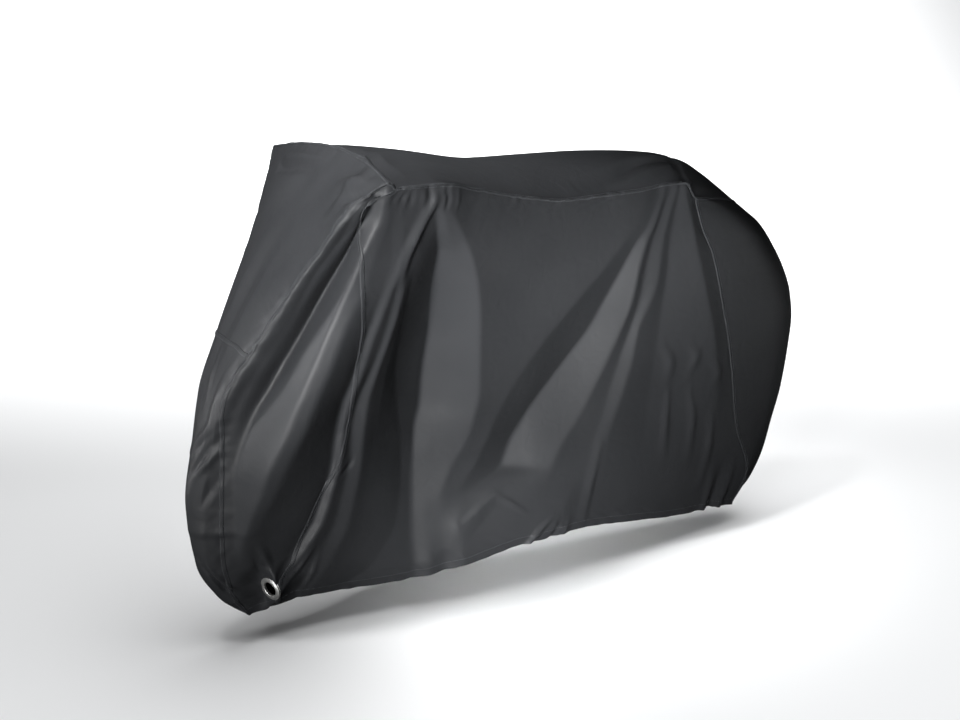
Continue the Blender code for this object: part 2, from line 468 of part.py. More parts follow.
def fold(shell):
    """Lift every point of the cloth along its own facing by the folds of the panel it belongs to."""
    p, facing = shell.points, shell.normals()
    rise = crease_rise(LEFT_CREASES, p[:, 2], p[:, 0]) + fold_rise(LEFT_FOLDS, p[:, 2], p[:, 0])
    rise *= smooth(*FACING, -facing[:, 1])
    rise += fold_rise(RIGHT_FOLDS, p[:, 2], p[:, 0]) * smooth(*FACING, facing[:, 1])
    rise += fold_rise(FRONT_FOLDS, p[:, 2], p[:, 1]) * smooth(*FACING, -facing[:, 0])
    rise += fold_rise(TOP_FOLDS, p[:, 0], p[:, 1]) * smooth(0.6, 0.9, facing[:, 2])
    for side in (-1, 1):
        middle = eyelet_frame(side)[2]
        rise *= smooth(*FLAT_ROUND_EYELET, np.linalg.norm(p - middle, axis=1))
    shell.points = p + facing * rise[:, None]


# ---- solids ----
def clear_scene():
    for thing in list(bpy.data.objects):
        bpy.data.objects.remove(thing, do_unlink=True)


def material(name, colour, roughness, metallic):
    made = bpy.data.materials.new(name)
    made.use_nodes = True
    shader = made.node_tree.nodes["Principled BSDF"]
    shader.inputs["Base Color"].default_value = (*colour, 1.0)
    shader.inputs["Roughness"].default_value = roughness
    shader.inputs["Metallic"].default_value = metallic
    return made


def border_loops(faces):
    """The open edges of a panel, as the next point after each point, and the point before it."""
    edges = {}
    for face in faces:
        for a, b in zip(face, face[1:] + face[:1]):
            edges[a, b] = True
    return {a: b for a, b in edges if (b, a) not in edges}


def sheet_solid(name, faces, points, facing, cover, finish):
    """A panel as a closed sheet: its outer skin, an inner skin and a rim, a little in from its seams."""
    after = border_loops(faces)
    before = {b: a for a, b in after.items()}
    centre = {}
    for face in faces:
        middle = points[list(face)].mean(0)
        for corner in face:
            centre.setdefault(corner, []).append(middle)
    used = sorted(centre)
    number = {old: new for new, old in enumerate(used)}
    outer = points[used].copy()
    for old in after:
        inward = np.mean(centre[old], axis=0) - points[old]
        along = unit(points[after[old]] - points[before[old]])
        inward -= along * (inward @ along)
        outer[number[old]] += unit(inward) * SEAM_GAP / 2
    inner = outer - facing[used] * SHEET
    count = len(used)
    solid = []
    for a, b, c, d in faces:
        short = np.linalg.norm(points[a] - points[c]) < np.linalg.norm(points[b] - points[d])
        for corners in ((a, b, c), (a, c, d)) if short else ((b, c, d), (b, d, a)):
            skin = [number[k] for k in corners]
            solid += [skin, [k + count for k in reversed(skin)]]
    for a, b in after.items():
        solid.append([number[b], number[a], number[a] + count, number[b] + count])
    mesh = bpy.data.meshes.new(name)
    mesh.from_pydata((np.concatenate([outer, inner]) - ORIGIN).tolist(), [], solid)
    mesh.materials.append(finish)
    mesh.shade_smooth()
    thing = bpy.data.objects.new(name, mesh)
    thing.parent = cover
    bpy.context.scene.collection.objects.link(thing)


def eyelet(name, side, cover, finish):
    """A two-sided rolled ring that grips the edge of the hole in its strip."""
    grip = SHEET / 2 + 0.0005          # from the cloth's middle to the flanges
    plate = 0.0012                     # thickness of a flange at its edge
    dome = 0.0034                      # height of the roll over the cloth's middle
    half = [(EYELET_RIM - 0.0004, grip), (EYELET_RIM, grip + plate / 2), (EYELET_RIM - 0.0012, grip + plate),
            (EYELET_HOLE + 0.006, dome), (EYELET_HOLE + 0.0025, dome), (EYELET_HOLE + 0.0005, dome - 0.001)]
    neck = CLOTH_HOLE - 0.0014
    profile = [(neck, grip)] + half
    profile += [(r, -h) for r, h in reversed(profile)]
    work = bmesh.new()
    corners = [work.verts.new((r, 0, h)) for r, h in profile]
    edges = [work.edges.new((a, b)) for a, b in zip(corners, corners[1:] + corners[:1])]
    bmesh.ops.spin(work, geom=corners + edges, cent=(0, 0, 0), axis=(0, 0, 1), angle=2 * math.pi,
                   steps=EYELET_STEPS, use_merge=True)
    bmesh.ops.recalc_face_normals(work, faces=work.faces)
    mesh = bpy.data.meshes.new(name)
    work.to_mesh(mesh)
    work.free()
    mesh.materials.append(finish)
    mesh.shade_smooth()
    mesh.set_sharp_from_angle(angle=math.radians(50))
    middle, level, rising, outward = eyelet_frame(side)[2:]
    turn = Matrix((level, rising, outward)).transposed()
    thing = bpy.data.objects.new(name, mesh)
    thing.location = Vector(middle - outward * SHEET / 2 - ORIGIN)
    thing.rotation_euler = turn.to_euler()
    thing.parent = cover
    bpy.context.scene.collection.objects.link(thing)


def main():
    clear_scene()
    cover = bpy.data.objects.new("bicycle_cover", None)
    bpy.context.scene.collection.objects.link(cover)
    shell = lay_out()
    fold(shell)
    facing = shell.normals()
    for name, faces in shell.faces.items():
        cloth = material(name + "_cloth", (0.035, 0.037, 0.040), 0.5, 0.0)
        sheet_solid(name, faces, shell.points, facing, cover, cloth)
    for name, side in (("eyelet_left", -1), ("eyelet_right", 1)):
        eyelet(name, side, cover, material(name + "_metal", (0.80, 0.80, 0.80), 0.2, 1.0))


main()
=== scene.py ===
import math

import bmesh
import bpy
import numpy as np
from mathutils import Matrix, Vector


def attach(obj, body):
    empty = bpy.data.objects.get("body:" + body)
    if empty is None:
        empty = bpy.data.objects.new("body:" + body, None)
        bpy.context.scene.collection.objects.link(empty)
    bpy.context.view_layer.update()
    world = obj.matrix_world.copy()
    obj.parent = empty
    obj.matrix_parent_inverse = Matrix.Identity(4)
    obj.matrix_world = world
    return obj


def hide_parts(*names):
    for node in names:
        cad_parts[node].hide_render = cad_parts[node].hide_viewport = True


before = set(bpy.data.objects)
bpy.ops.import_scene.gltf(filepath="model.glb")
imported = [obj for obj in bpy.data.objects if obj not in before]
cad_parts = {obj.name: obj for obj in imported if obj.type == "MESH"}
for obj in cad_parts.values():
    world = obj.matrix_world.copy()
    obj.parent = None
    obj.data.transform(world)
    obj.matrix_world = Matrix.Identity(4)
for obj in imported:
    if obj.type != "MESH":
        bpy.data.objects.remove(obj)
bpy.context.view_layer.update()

MM = 0.001

# ---- sizes ----
CLOTH = 0.0012            # thickness of the coated cloth as drawn
ORIGIN = (0.36, 0.0, 1.045)

EYELET_AT = (0.60, 0.62)           # share of its strip's width from the front seam, and of its height
EYELET_HOLE = 0.0175               # radius of the clear hole
EYELET_RIM = 0.0285                # radius of its flanges
CLOTH_HOLE = 0.0224                # radius of the hole cut in the cloth
EYELET_GRIP = CLOTH / 2 + 0.0008   # from the cloth's middle to its flanges
EYELET_PLATE = 0.0011              # thickness of a flange at its edge
EYELET_EDGE = 0.0003               # how far that edge is rounded
EYELET_DOME = 0.0038               # height of the roll over the cloth's middle
EYELET_LIP = 0.0035                # width of the flat flange outside the roll
EYELET_WIDEST = 0.4                # share of a flange's thickness at which its edge is widest
EYELET_FULL = 0.8                  # how full the roll is: less is fuller, and 1 is a half wave
EYELET_ROLL = 9                    # points over the roll
EYELET_EASE = 0.0014               # gap between the neck and the edge of the cloth
COLLAR = 0.034                     # radius of the flat cloth that the flanges hold
COLLAR_FADE = 2.4                  # the cloth is free again this many times as far out
EYELET_FACING = (-0.90, -0.40, -0.17)
EYELET_STEPS = 96
FLAT_ROUND_EYELET = (0.030, 0.065)  # the folds fade in between these distances from it

# Shares of the height, from the top edge down to the hem, and the steps in each band
CROSS_JOIN = 0.37                  # the join across the front panel
STRIP_TOP = 0.855                  # the top of the strips that hold the eyelets
ROW_BANDS = ((0.0, CROSS_JOIN, 8), (CROSS_JOIN, STRIP_TOP, 10), (STRIP_TOP, 1.0, 4))
FINE_ROWS = 8                      # rows of points in each of those steps
FINE_COLUMNS = 8                   # columns of points in each of the steps of STEPS

# ---- sections that run from the top edge down to the hem: (height, x, half width) ----
RIBS = {
    "front_crest": ((1.118, -0.455, 0.0), (1.05, -0.510, 0.0), (0.95, -0.598, 0.0), (0.82, -0.684, 0.0),
                    (0.72, -0.736, 0.0), (0.62, -0.779, 0.0), (0.52, -0.808, 0.0), (0.36, -0.840, 0.0),
                    (0.21, -0.825, 0.0), (0.13, -0.786, 0.0), (0.058, -0.712, 0.0)),
    "front_half": ((1.113, -0.468, 0.17), (1.05, -0.520, 0.152), (0.95, -0.592, 0.125), (0.82, -0.676, 0.09),
                   (0.72, -0.730, 0.062), (0.60, -0.782, 0.044), (0.43, -0.812, 0.036), (0.30, -0.820, 0.03),
                   (0.20, -0.809, 0.025), (0.13, -0.778, 0.02), (0.064, -0.714, 0.012)),
    "front_seam": ((1.088, -0.482, 0.315), (1.045, -0.546, 0.280), (0.95, -0.593, 0.225),
                   (0.90, -0.621, 0.195), (0.82, -0.660, 0.155), (0.72, -0.708, 0.112), (0.66, -0.744, 0.092),
                   (0.58, -0.767, 0.072), (0.43, -0.774, 0.060), (0.31, -0.779, 0.052), (0.24, -0.778, 0.045),
                   (0.14, -0.758, 0.034), (0.072, -0.716, 0.022)),
    "side_front": ((1.084, -0.473, 0.315), (1.04, -0.537, 0.289), (0.95, -0.566, 0.250),
                   (0.82, -0.605, 0.202), (0.66, -0.650, 0.157), (0.50, -0.684, 0.123), (0.35, -0.694, 0.098),
                   (0.20, -0.692, 0.070), (0.085, -0.678, 0.040)),
    "bar_seam": ((1.074, -0.462, 0.314), (1.035, -0.528, 0.297), (0.96, -0.524, 0.272), (0.82, -0.508, 0.232),
                 (0.74, -0.499, 0.215), (0.55, -0.503, 0.175), (0.45, -0.518, 0.155), (0.31, -0.582, 0.125),
                 (0.18, -0.632, 0.082), (0.104, -0.646, 0.056)),
    "side_1": ((1.075, -0.376, 0.315), (0.95, -0.385, 0.275), (0.80, -0.400, 0.232), (0.55, -0.420, 0.180),
               (0.30, -0.460, 0.135), (0.086, -0.500, 0.088)),
    "side_2": ((1.049, -0.257, 0.280), (0.95, -0.265, 0.255), (0.80, -0.275, 0.215), (0.55, -0.295, 0.172),
               (0.30, -0.325, 0.150), (0.080, -0.360, 0.118)),
    "side_3": ((1.012, -0.105, 0.232), (0.90, -0.105, 0.211), (0.80, -0.112, 0.186), (0.55, -0.135, 0.158),
               (0.30, -0.165, 0.150), (0.105, -0.195, 0.138)),
    "side_4": ((0.992, 0.010, 0.198), (0.90, 0.012, 0.182), (0.80, 0.006, 0.165), (0.55, -0.005, 0.148),
               (0.30, -0.020, 0.145), (0.132, -0.035, 0.137)),
    "side_5": ((0.987, 0.126, 0.166), (0.80, 0.126, 0.147), (0.55, 0.120, 0.135), (0.30, 0.115, 0.132),
               (0.138, 0.110, 0.120)),
    "side_6": ((0.983, 0.262, 0.134), (0.80, 0.266, 0.131), (0.55, 0.272, 0.130), (0.30, 0.278, 0.125),
               (0.116, 0.285, 0.105)),
    "side_7": ((0.986, 0.351, 0.110), (0.80, 0.372, 0.118), (0.55, 0.400, 0.125), (0.30, 0.430, 0.120),
               (0.088, 0.455, 0.085)),
    "side_8": ((0.984, 0.417, 0.100), (0.80, 0.440, 0.112), (0.55, 0.490, 0.123), (0.30, 0.530, 0.116),
               (0.078, 0.570, 0.068)),
    "rear_seam": ((0.941, 0.457, 0.095), (0.86, 0.483, 0.100), (0.80, 0.512, 0.106), (0.69, 0.540, 0.115),
                  (0.54, 0.575, 0.120), (0.32, 0.622, 0.108), (0.16, 0.690, 0.080), (0.062, 0.672, 0.048)),
    "rear_half": ((0.925, 0.560, 0.056), (0.88, 0.605, 0.070), (0.82, 0.655, 0.078), (0.70, 0.735, 0.080),
                  (0.56, 0.775, 0.080), (0.38, 0.768, 0.074), (0.22, 0.750, 0.060), (0.12, 0.725, 0.042),
                  (0.056, 0.683, 0.026)),
    "rear_crest": ((0.899, 0.662, 0.0), (0.870, 0.702, 0.0), (0.838, 0.744, 0.0), (0.767, 0.801, 0.0),
                   (0.70, 0.842, 0.0), (0.638, 0.868, 0.0), (0.558, 0.880, 0.0), (0.473, 0.873, 0.0),
                   (0.374, 0.859, 0.0), (0.276, 0.831, 0.0), (0.191, 0.811, 0.0), (0.109, 0.770, 0.0),
                   (0.052, 0.696, 0.0)),
}
# The right side's own sections, where it isn't a mirror of the left
RIGHT_RIBS = {
    "front_half": ((1.109, -0.463, 0.16), (1.04, -0.520, 0.140), (0.95, -0.586, 0.118), (0.82, -0.672, 0.085),
                   (0.72, -0.728, 0.060), (0.60, -0.782, 0.044), (0.43, -0.812, 0.036), (0.30, -0.820, 0.03),
                   (0.20, -0.809, 0.025), (0.13, -0.778, 0.02), (0.064, -0.714, 0.012)),
    "front_seam": ((1.083, -0.478, 0.315), (0.99, -0.533, 0.258), (0.90, -0.585, 0.210),
                   (0.80, -0.641, 0.168), (0.705, -0.700, 0.124), (0.60, -0.751, 0.085),
                   (0.50, -0.775, 0.068), (0.31, -0.779, 0.052), (0.24, -0.778, 0.045), (0.14, -0.758, 0.034),
                   (0.072, -0.716, 0.022)),
    "side_front": ((1.080, -0.473, 0.315), (0.99, -0.505, 0.272), (0.90, -0.540, 0.238),
                   (0.80, -0.580, 0.202), (0.66, -0.632, 0.157), (0.50, -0.672, 0.123), (0.35, -0.690, 0.094),
                   (0.20, -0.690, 0.062), (0.060, -0.676, 0.030)),
    "bar_seam": ((1.076, -0.467, 0.314), (0.99, -0.478, 0.282), (0.90, -0.490, 0.255), (0.80, -0.500, 0.228),
                 (0.66, -0.515, 0.190), (0.50, -0.535, 0.158), (0.31, -0.575, 0.118), (0.18, -0.612, 0.072),
                 (0.048, -0.630, 0.036)),
    "side_1": ((1.075, -0.376, 0.315), (0.95, -0.385, 0.275), (0.80, -0.400, 0.232), (0.55, -0.420, 0.180),
               (0.30, -0.460, 0.130), (0.052, -0.510, 0.062)),
}
# Columns of cloth between one section and the next, from the front crest back to the rear crest
STEPS = {
    "front_crest": 3, "front_half": 3, "front_seam": 2, "side_front": 3, "bar_seam": 4, "side_1": 4,
    "side_2": 5, "side_3": 4, "side_4": 4, "side_5": 4, "side_6": 3, "side_7": 2, "side_8": 2,
    "rear_seam": 3, "rear_half": 3,
}
# The top's ridge: (x, height)
RIDGE = ((-0.455, 1.118), (-0.302, 1.100), (-0.093, 1.068), (0.009, 1.069), (0.120, 1.068), (0.244, 1.062),
         (0.376, 1.048), (0.480, 1.020), (0.546, 0.982), (0.600, 0.944), (0.662, 0.899))
CROWN = 1.4               # how round the top is over its ridge: 1 is a sharp tent
LEAD = (0.027, 0.205)     # how far back of the top's side edges its ridge lies, at the front and rear

# ---- folds ----
# A side hangs in flat facets between creases that run down it, from the front seam back to the rear
# seam. Each crease is read as (height, x, how far it stands out in mm).
LEFT_CREASES = {
    "front_edge": ((1.05, -0.542, 0), (0.95, -0.593, 0), (0.82, -0.660, 0), (0.66, -0.744, 0),
                   (0.58, -0.767, 0), (0.43, -0.774, 0), (0.24, -0.778, 0), (0.07, -0.716, 0)),
    "under_welt": ((1.05, -0.522, -6), (0.95, -0.577, -8), (0.85, -0.627, -9), (0.75, -0.678, -9),
                   (0.66, -0.724, -9), (0.58, -0.750, -7), (0.50, -0.759, -4), (0.43, -0.762, 0),
                   (0.24, -0.766, 0), (0.07, -0.704, 0)),
    "lip": ((1.03, -0.520, -9), (0.966, -0.555, -13), (0.902, -0.585, -15), (0.835, -0.619, -16),
            (0.769, -0.653, -16), (0.703, -0.688, -15), (0.639, -0.716, -13), (0.571, -0.740, -10),
            (0.498, -0.752, -6), (0.43, -0.757, -1), (0.24, -0.759, 0), (0.07, -0.697, 0)),
    "groove": ((1.03, -0.504, -18), (0.966, -0.532, -38), (0.902, -0.558, -50), (0.835, -0.588, -54),
               (0.769, -0.620, -54), (0.703, -0.655, -50), (0.639, -0.686, -42), (0.571, -0.722, -26),
               (0.498, -0.742, -10), (0.43, -0.752, -2), (0.24, -0.752, 0), (0.07, -0.690, 0)),
    "band_1": ((1.01, -0.490, 1), (0.94, -0.520, 0), (0.88, -0.537, 0), (0.81, -0.562, 1),
               (0.75, -0.584, 6), (0.68, -0.608, 14), (0.62, -0.630, 22), (0.55, -0.652, 28),
               (0.48, -0.680, 30), (0.40, -0.703, 25), (0.33, -0.724, 17), (0.26, -0.740, 8),
               (0.20, -0.735, 0), (0.07, -0.672, 0)),
    "band_1_back": ((1.01, -0.472, 2), (0.94, -0.494, 3), (0.88, -0.508, 4), (0.81, -0.529, 7),
                    (0.75, -0.549, 12), (0.68, -0.571, 19), (0.62, -0.594, 24), (0.55, -0.618, 27),
                    (0.48, -0.648, 26), (0.40, -0.676, 20), (0.33, -0.704, 12), (0.26, -0.722, 4),
                    (0.20, -0.720, -2), (0.07, -0.662, -4)),
    "foot_1": ((1.00, -0.465, 0), (0.915, -0.454, -1), (0.86, -0.461, -3), (0.80, -0.475, -9),
               (0.73, -0.490, -20), (0.65, -0.505, -32), (0.575, -0.525, -43), (0.50, -0.534, -50),
               (0.425, -0.540, -53), (0.355, -0.556, -52), (0.285, -0.579, -46), (0.23, -0.613, -36),
               (0.17, -0.646, -22), (0.10, -0.665, -10)),
    "ridge_1": ((1.00, -0.435, 0), (0.915, -0.430, 0), (0.86, -0.443, 0), (0.80, -0.457, -3),
                (0.73, -0.473, -12), (0.655, -0.486, -23), (0.58, -0.506, -32), (0.51, -0.521, -38),
                (0.43, -0.523, -37), (0.36, -0.539, -37), (0.285, -0.562, -30), (0.23, -0.596, -21),
                (0.17, -0.631, -11), (0.10, -0.652, -6)),
    "dip_1": ((1.00, -0.430, -1), (0.915, -0.426, -2), (0.855, -0.431, -6), (0.79, -0.437, -14),
              (0.715, -0.447, -26), (0.645, -0.463, -38), (0.575, -0.485, -46), (0.50, -0.494, -51),
              (0.42, -0.498, -51), (0.345, -0.511, -49), (0.27, -0.529, -42), (0.215, -0.559, -33),
              (0.155, -0.592, -21), (0.10, -0.625, -14)),
    "ridge_2": ((1.00, -0.425, -1), (0.915, -0.421, -3), (0.85, -0.414, -7), (0.79, -0.418, -13),
                (0.715, -0.431, -23), (0.645, -0.446, -34), (0.57, -0.462, -41), (0.49, -0.468, -46),
                (0.41, -0.470, -48), (0.33, -0.481, -47), (0.26, -0.497, -39), (0.20, -0.526, -31),
                (0.15, -0.558, -20), (0.10, -0.595, -14)),
    "slope_2": ((1.01, -0.395, -3), (0.92, -0.397, -9), (0.845, -0.390, -24), (0.77, -0.388, -43),
                (0.69, -0.378, -65), (0.62, -0.368, -85), (0.54, -0.352, -99), (0.465, -0.343, -108),
                (0.39, -0.341, -110), (0.315, -0.347, -103), (0.245, -0.364, -87), (0.19, -0.392, -70),
                (0.145, -0.430, -53), (0.10, -0.500, -40)),
    "valley_2": ((1.025, -0.367, -2), (0.965, -0.343, -18), (0.90, -0.308, -45), (0.82, -0.290, -72),
                 (0.745, -0.275, -96), (0.665, -0.266, -112), (0.59, -0.270, -122), (0.515, -0.276, -126),
                 (0.445, -0.296, -125), (0.375, -0.303, -118), (0.30, -0.310, -108), (0.23, -0.320, -92),
                 (0.17, -0.325, -75), (0.12, -0.324, -60)),
    "face_2": ((1.02, -0.354, 3), (0.97, -0.331, -2), (0.905, -0.292, -20), (0.825, -0.268, -42),
               (0.745, -0.246, -62), (0.665, -0.235, -80), (0.59, -0.236, -94), (0.515, -0.240, -102),
               (0.445, -0.262, -107), (0.375, -0.272, -104), (0.30, -0.282, -95), (0.225, -0.290, -80),
               (0.17, -0.290, -64), (0.12, -0.287, -48)),
    "band_2": ((1.025, -0.340, 4), (0.975, -0.305, 9), (0.915, -0.268, 9), (0.84, -0.232, 5),
               (0.765, -0.208, -4), (0.69, -0.190, -16), (0.615, -0.176, -28), (0.53, -0.163, -44),
               (0.45, -0.172, -60), (0.40, -0.190, -70), (0.345, -0.220, -78), (0.28, -0.245, -76),
               (0.15, -0.250, -52)),
    "slack_3": ((0.95, 0.280, 0), (0.87, 0.225, -1), (0.80, 0.150, 0), (0.73, 0.075, -3),
                (0.66, 0.010, -14), (0.59, -0.040, -30), (0.52, -0.080, -46), (0.455, -0.110, -58),
                (0.40, -0.130, -67), (0.356, -0.150, -73), (0.30, -0.190, -72), (0.20, -0.225, -54),
                (0.12, -0.200, -32)),
    "valley_3": ((0.97, 0.335, -1), (0.893, 0.296, -3), (0.86, 0.267, -8), (0.792, 0.226, -18),
                 (0.723, 0.190, -31), (0.653, 0.158, -45), (0.586, 0.112, -60), (0.52, 0.060, -72),
                 (0.455, 0.002, -82), (0.389, -0.044, -89), (0.350, -0.062, -90), (0.322, -0.076, -86),
                 (0.299, -0.130, -76), (0.271, -0.180, -66), (0.20, -0.215, -50), (0.12, -0.180, -30)),
    "band_3": ((0.97, 0.350, 1), (0.892, 0.316, 2), (0.858, 0.290, 3), (0.788, 0.268, 2), (0.717, 0.252, 1),
               (0.648, 0.222, -2), (0.578, 0.190, -8), (0.506, 0.155, -14), (0.436, 0.117, -20),
               (0.368, 0.070, -25), (0.297, 0.035, -28), (0.228, -0.010, -26), (0.15, -0.030, -18)),
    "valley_4": ((0.97, 0.370, -1), (0.855, 0.314, -4), (0.786, 0.294, -6), (0.713, 0.278, -7),
                 (0.647, 0.256, -8), (0.574, 0.228, -11), (0.495, 0.203, -13), (0.418, 0.180, -14),
                 (0.346, 0.145, -16), (0.275, 0.110, -14), (0.224, 0.080, -8), (0.15, 0.050, -2)),
    "streak_4": ((0.97, 0.390, 2), (0.85, 0.345, 2), (0.742, 0.326, 3), (0.707, 0.308, 3), (0.64, 0.270, 3),
                 (0.56, 0.255, 2), (0.488, 0.234, 0), (0.414, 0.209, -4), (0.339, 0.190, -6),
                 (0.26, 0.181, -6), (0.17, 0.190, -2)),
    "hollow_4": ((0.97, 0.400, 0), (0.849, 0.372, -2), (0.739, 0.358, -3), (0.665, 0.345, -3),
                 (0.589, 0.336, -3), (0.515, 0.325, -4), (0.437, 0.318, -6), (0.358, 0.310, -6),
                 (0.279, 0.300, -5), (0.18, 0.300, -2)),
    "band_4": ((0.97, 0.415, 3), (0.907, 0.432, 6), (0.839, 0.447, 9), (0.762, 0.465, 12),
               (0.683, 0.485, 14), (0.603, 0.505, 14), (0.522, 0.520, 12), (0.436, 0.535, 8),
               (0.354, 0.535, 4), (0.267, 0.540, 0), (0.17, 0.550, 0)),
    "rear_edge": ((0.941, 0.457, 0), (0.86, 0.483, 0), (0.80, 0.512, 0), (0.69, 0.540, 0), (0.54, 0.575, 0),
                  (0.32, 0.622, 0), (0.16, 0.690, 0), (0.062, 0.672, 0)),
}
CREASE_ROUND = ((0.05, 0.018), (0.40, 0.010), (1.10, 0.008))   # half width of a crease's rounding, by height
ROUND_STEPS = ((-0.75, 1), (-0.5, 2), (-0.25, 3), (0.0, 4), (0.25, 3), (0.5, 2), (0.75, 1))  # and its weights

# Smaller folds are each a crest (or, with a negative rise, a trough). The line of one that runs down
# a panel is read as (height, x) on a side, (height, y) on the front and (x, y) on the top. The tucks
# run across a panel, and theirs are (x, height), (y, height) and (y, x).
# columns: line, rise at its start, middle and end in mm, flank before it at its start and end in mm,
# flank behind it at its start and end in mm, crispness of its crest from 0, round, to 1, creased
LEFT_FOLDS = {
    "welt": (((1.07, -0.515), (0.90, -0.624), (0.80, -0.662), (0.71, -0.711), (0.59, -0.769), (0.47, -0.795)),
             (6, 10, 4), (16, 40), (18, 18), 0.8),
    "grip_pleat": (((1.04, -0.372), (0.93, -0.414), (0.87, -0.426)), (6, 12, 3), (20, 24), (14, 14), 0.9),
    "hook_1": (((1.083, -0.472), (1.062, -0.463), (1.042, -0.470)), (-3, -6, -1), (9, 8), (8, 8), 0.9),
    "hook_2": (((1.080, -0.452), (1.058, -0.446), (1.036, -0.453)), (-3, -6, -1), (8, 8), (8, 8), 0.9),
    "hook_3": (((1.074, -0.434), (1.050, -0.428), (1.026, -0.437)), (-3, -5, -1), (8, 8), (8, 8), 0.9),
    "knot_1": (((1.072, -0.410), (1.050, -0.399), (1.022, -0.402)), (1, 3, 0), (8, 7), (7, 7), 0.7),
    "knot_2": (((1.068, -0.390), (1.046, -0.384), (1.020, -0.390)), (-4, -5, 0), (8, 7), (8, 7), 0.8),
    "knot_3": (((1.060, -0.350), (1.040, -0.343), (1.010, -0.350)), (-3, -4, 0), (8, 7), (9, 8), 0.7),
    "knot_4": (((1.055, -0.322), (1.035, -0.318), (1.012, -0.324)), (1, 2, 0), (8, 8), (10, 9), 0.6),
    "notch": (((0.428, -0.490), (0.412, -0.498), (0.392, -0.524)), (-2, -4, -1), (10, 10), (9, 9), 0.6),
    "bump_1": (((0.590, 0.352), (0.535, 0.380), (0.485, 0.372)), (1, 4, 1), (26, 24), (20, 20), 0.1),
    "bump_2": (((0.580, 0.435), (0.545, 0.457), (0.500, 0.440)), (1, 4, 1), (24, 22), (22, 18), 0.1),
    "bump_3": (((0.530, 0.505), (0.488, 0.532), (0.455, 0.519)), (1, 3, 1), (24, 22), (20, 18), 0.1),
    "streak_5": (((0.450, 0.378), (0.380, 0.377), (0.280, 0.377)), (2, 5, 1), (16, 26), (12, 16), 0.6),
    "streak_6": (((0.447, 0.446), (0.368, 0.463), (0.255, 0.459)), (2, 5, 1), (16, 26), (12, 18), 0.6),
    "streak_7": (((0.400, 0.520), (0.300, 0.528), (0.180, 0.520)), (0, 5, 2), (20, 26), (12, 18), 0.6),
    "low_streak": (((0.350, 0.177), (0.262, 0.155), (0.155, 0.132)), (2, 5, 2), (20, 30), (12, 16), 0.7),
    "eyelet_ray_1": (((0.228, -0.579), (0.178, -0.613), (0.135, -0.640)), (1, 6, 4), (8, 6), (10, 8), 0.9),
    "eyelet_ray_2": (((0.206, -0.565), (0.160, -0.582), (0.115, -0.606)), (1, 5, 3), (7, 6), (12, 10), 0.9),
    "eyelet_ray_3": (((0.265, -0.705), (0.222, -0.689), (0.182, -0.668)), (1, 6, 3), (10, 8), (16, 10), 0.8),
    "eyelet_dip": (((0.240, -0.712), (0.196, -0.707), (0.160, -0.703)), (-1, -6, -3), (10, 8), (10, 8), 0.7),
    "hem_gather_1": (((0.190, 0.039), (0.158, 0.000), (0.110, -0.046)), (1, 7, 10), (12, 14), (9, 10), 0.8),
    "hem_gather_2": (((0.180, 0.062), (0.146, 0.046), (0.110, 0.010)), (-1, -6, -8), (10, 12), (12, 14), 0.7),
    "hem_gather_3": (((0.170, 0.085), (0.145, 0.075), (0.115, 0.055)), (1, 5, 7), (9, 10), (14, 20), 0.7),
    "rear_gather_1": (((0.230, 0.632), (0.140, 0.624), (0.070, 0.612)), (0, 7, 10), (18, 14), (10, 10), 0.8),
    "rear_gather_2": (((0.235, 0.592), (0.149, 0.588), (0.075, 0.580)), (0, -6, -9), (20, 14), (14, 12), 0.7),
    "rear_gather_3": (((0.240, 0.556), (0.150, 0.560), (0.078, 0.552)), (0, 5, 7), (26, 18), (12, 12), 0.7),
}
LEFT_TUCKS = {
    "hem_crease": (((-0.110, 0.268), (-0.067, 0.240), (-0.028, 0.210)), (1, 5, 1), (14, 12), (9, 8), 0.9),
    "wedge_edge": (((-0.205, 0.205), (-0.150, 0.245), (-0.110, 0.270)), (2, 6, 3), (40, 30), (14, 12), 0.8),
    "hem_line_1": (((-0.820, 0.225), (-0.774, 0.171), (-0.719, 0.111)), (2, 5, 3), (7, 7), (7, 7), 0.9),
    "hem_line_2": (((-0.828, 0.239), (-0.794, 0.182), (-0.741, 0.117)), (-2, -5, -3), (7, 7), (7, 7), 0.8),
    "gusset": (((0.456, 0.938), (0.540, 0.918), (0.626, 0.892)), (3, 5, 2), (9, 8), (9, 8), 0.9),
}
RIGHT_FOLDS = {
    "bar_trough": (((1.03, -0.500), (0.81, -0.600), (0.60, -0.700)), (-6, -16, -4), (30, 50), (30, 60), 0.4),
    "great_trough": (((1.03, -0.350), (0.70, -0.360), (0.30, -0.420)),
                     (-8, -26, -4), (40, 120), (30, 100), 0.5),
    "great_crest": (((1.02, -0.320), (0.70, -0.240), (0.30, -0.180)), (6, 14, 3), (30, 90), (50, 120), 0.4),
    "long_trough": (((0.93, 0.320), (0.60, 0.120), (0.25, -0.080)), (-4, -20, -5), (60, 110), (30, 60), 0.5),
    "long_crest": (((0.95, 0.372), (0.60, 0.230), (0.25, 0.050)), (5, 14, 4), (30, 80), (30, 60), 0.5),
    "saddle_crest": (((0.94, 0.415), (0.65, 0.510), (0.30, 0.590)), (3, 10, 3), (30, 120), (20, 60), 0.5),
    "rear_gather": (((0.23, 0.620), (0.14, 0.612), (0.07, 0.600)), (0, 6, 9), (18, 14), (10, 10), 0.8),
    "hem_gather": (((0.20, 0.060), (0.15, 0.020), (0.11, -0.030)), (1, 6, 8), (12, 14), (9, 10), 0.8),
}
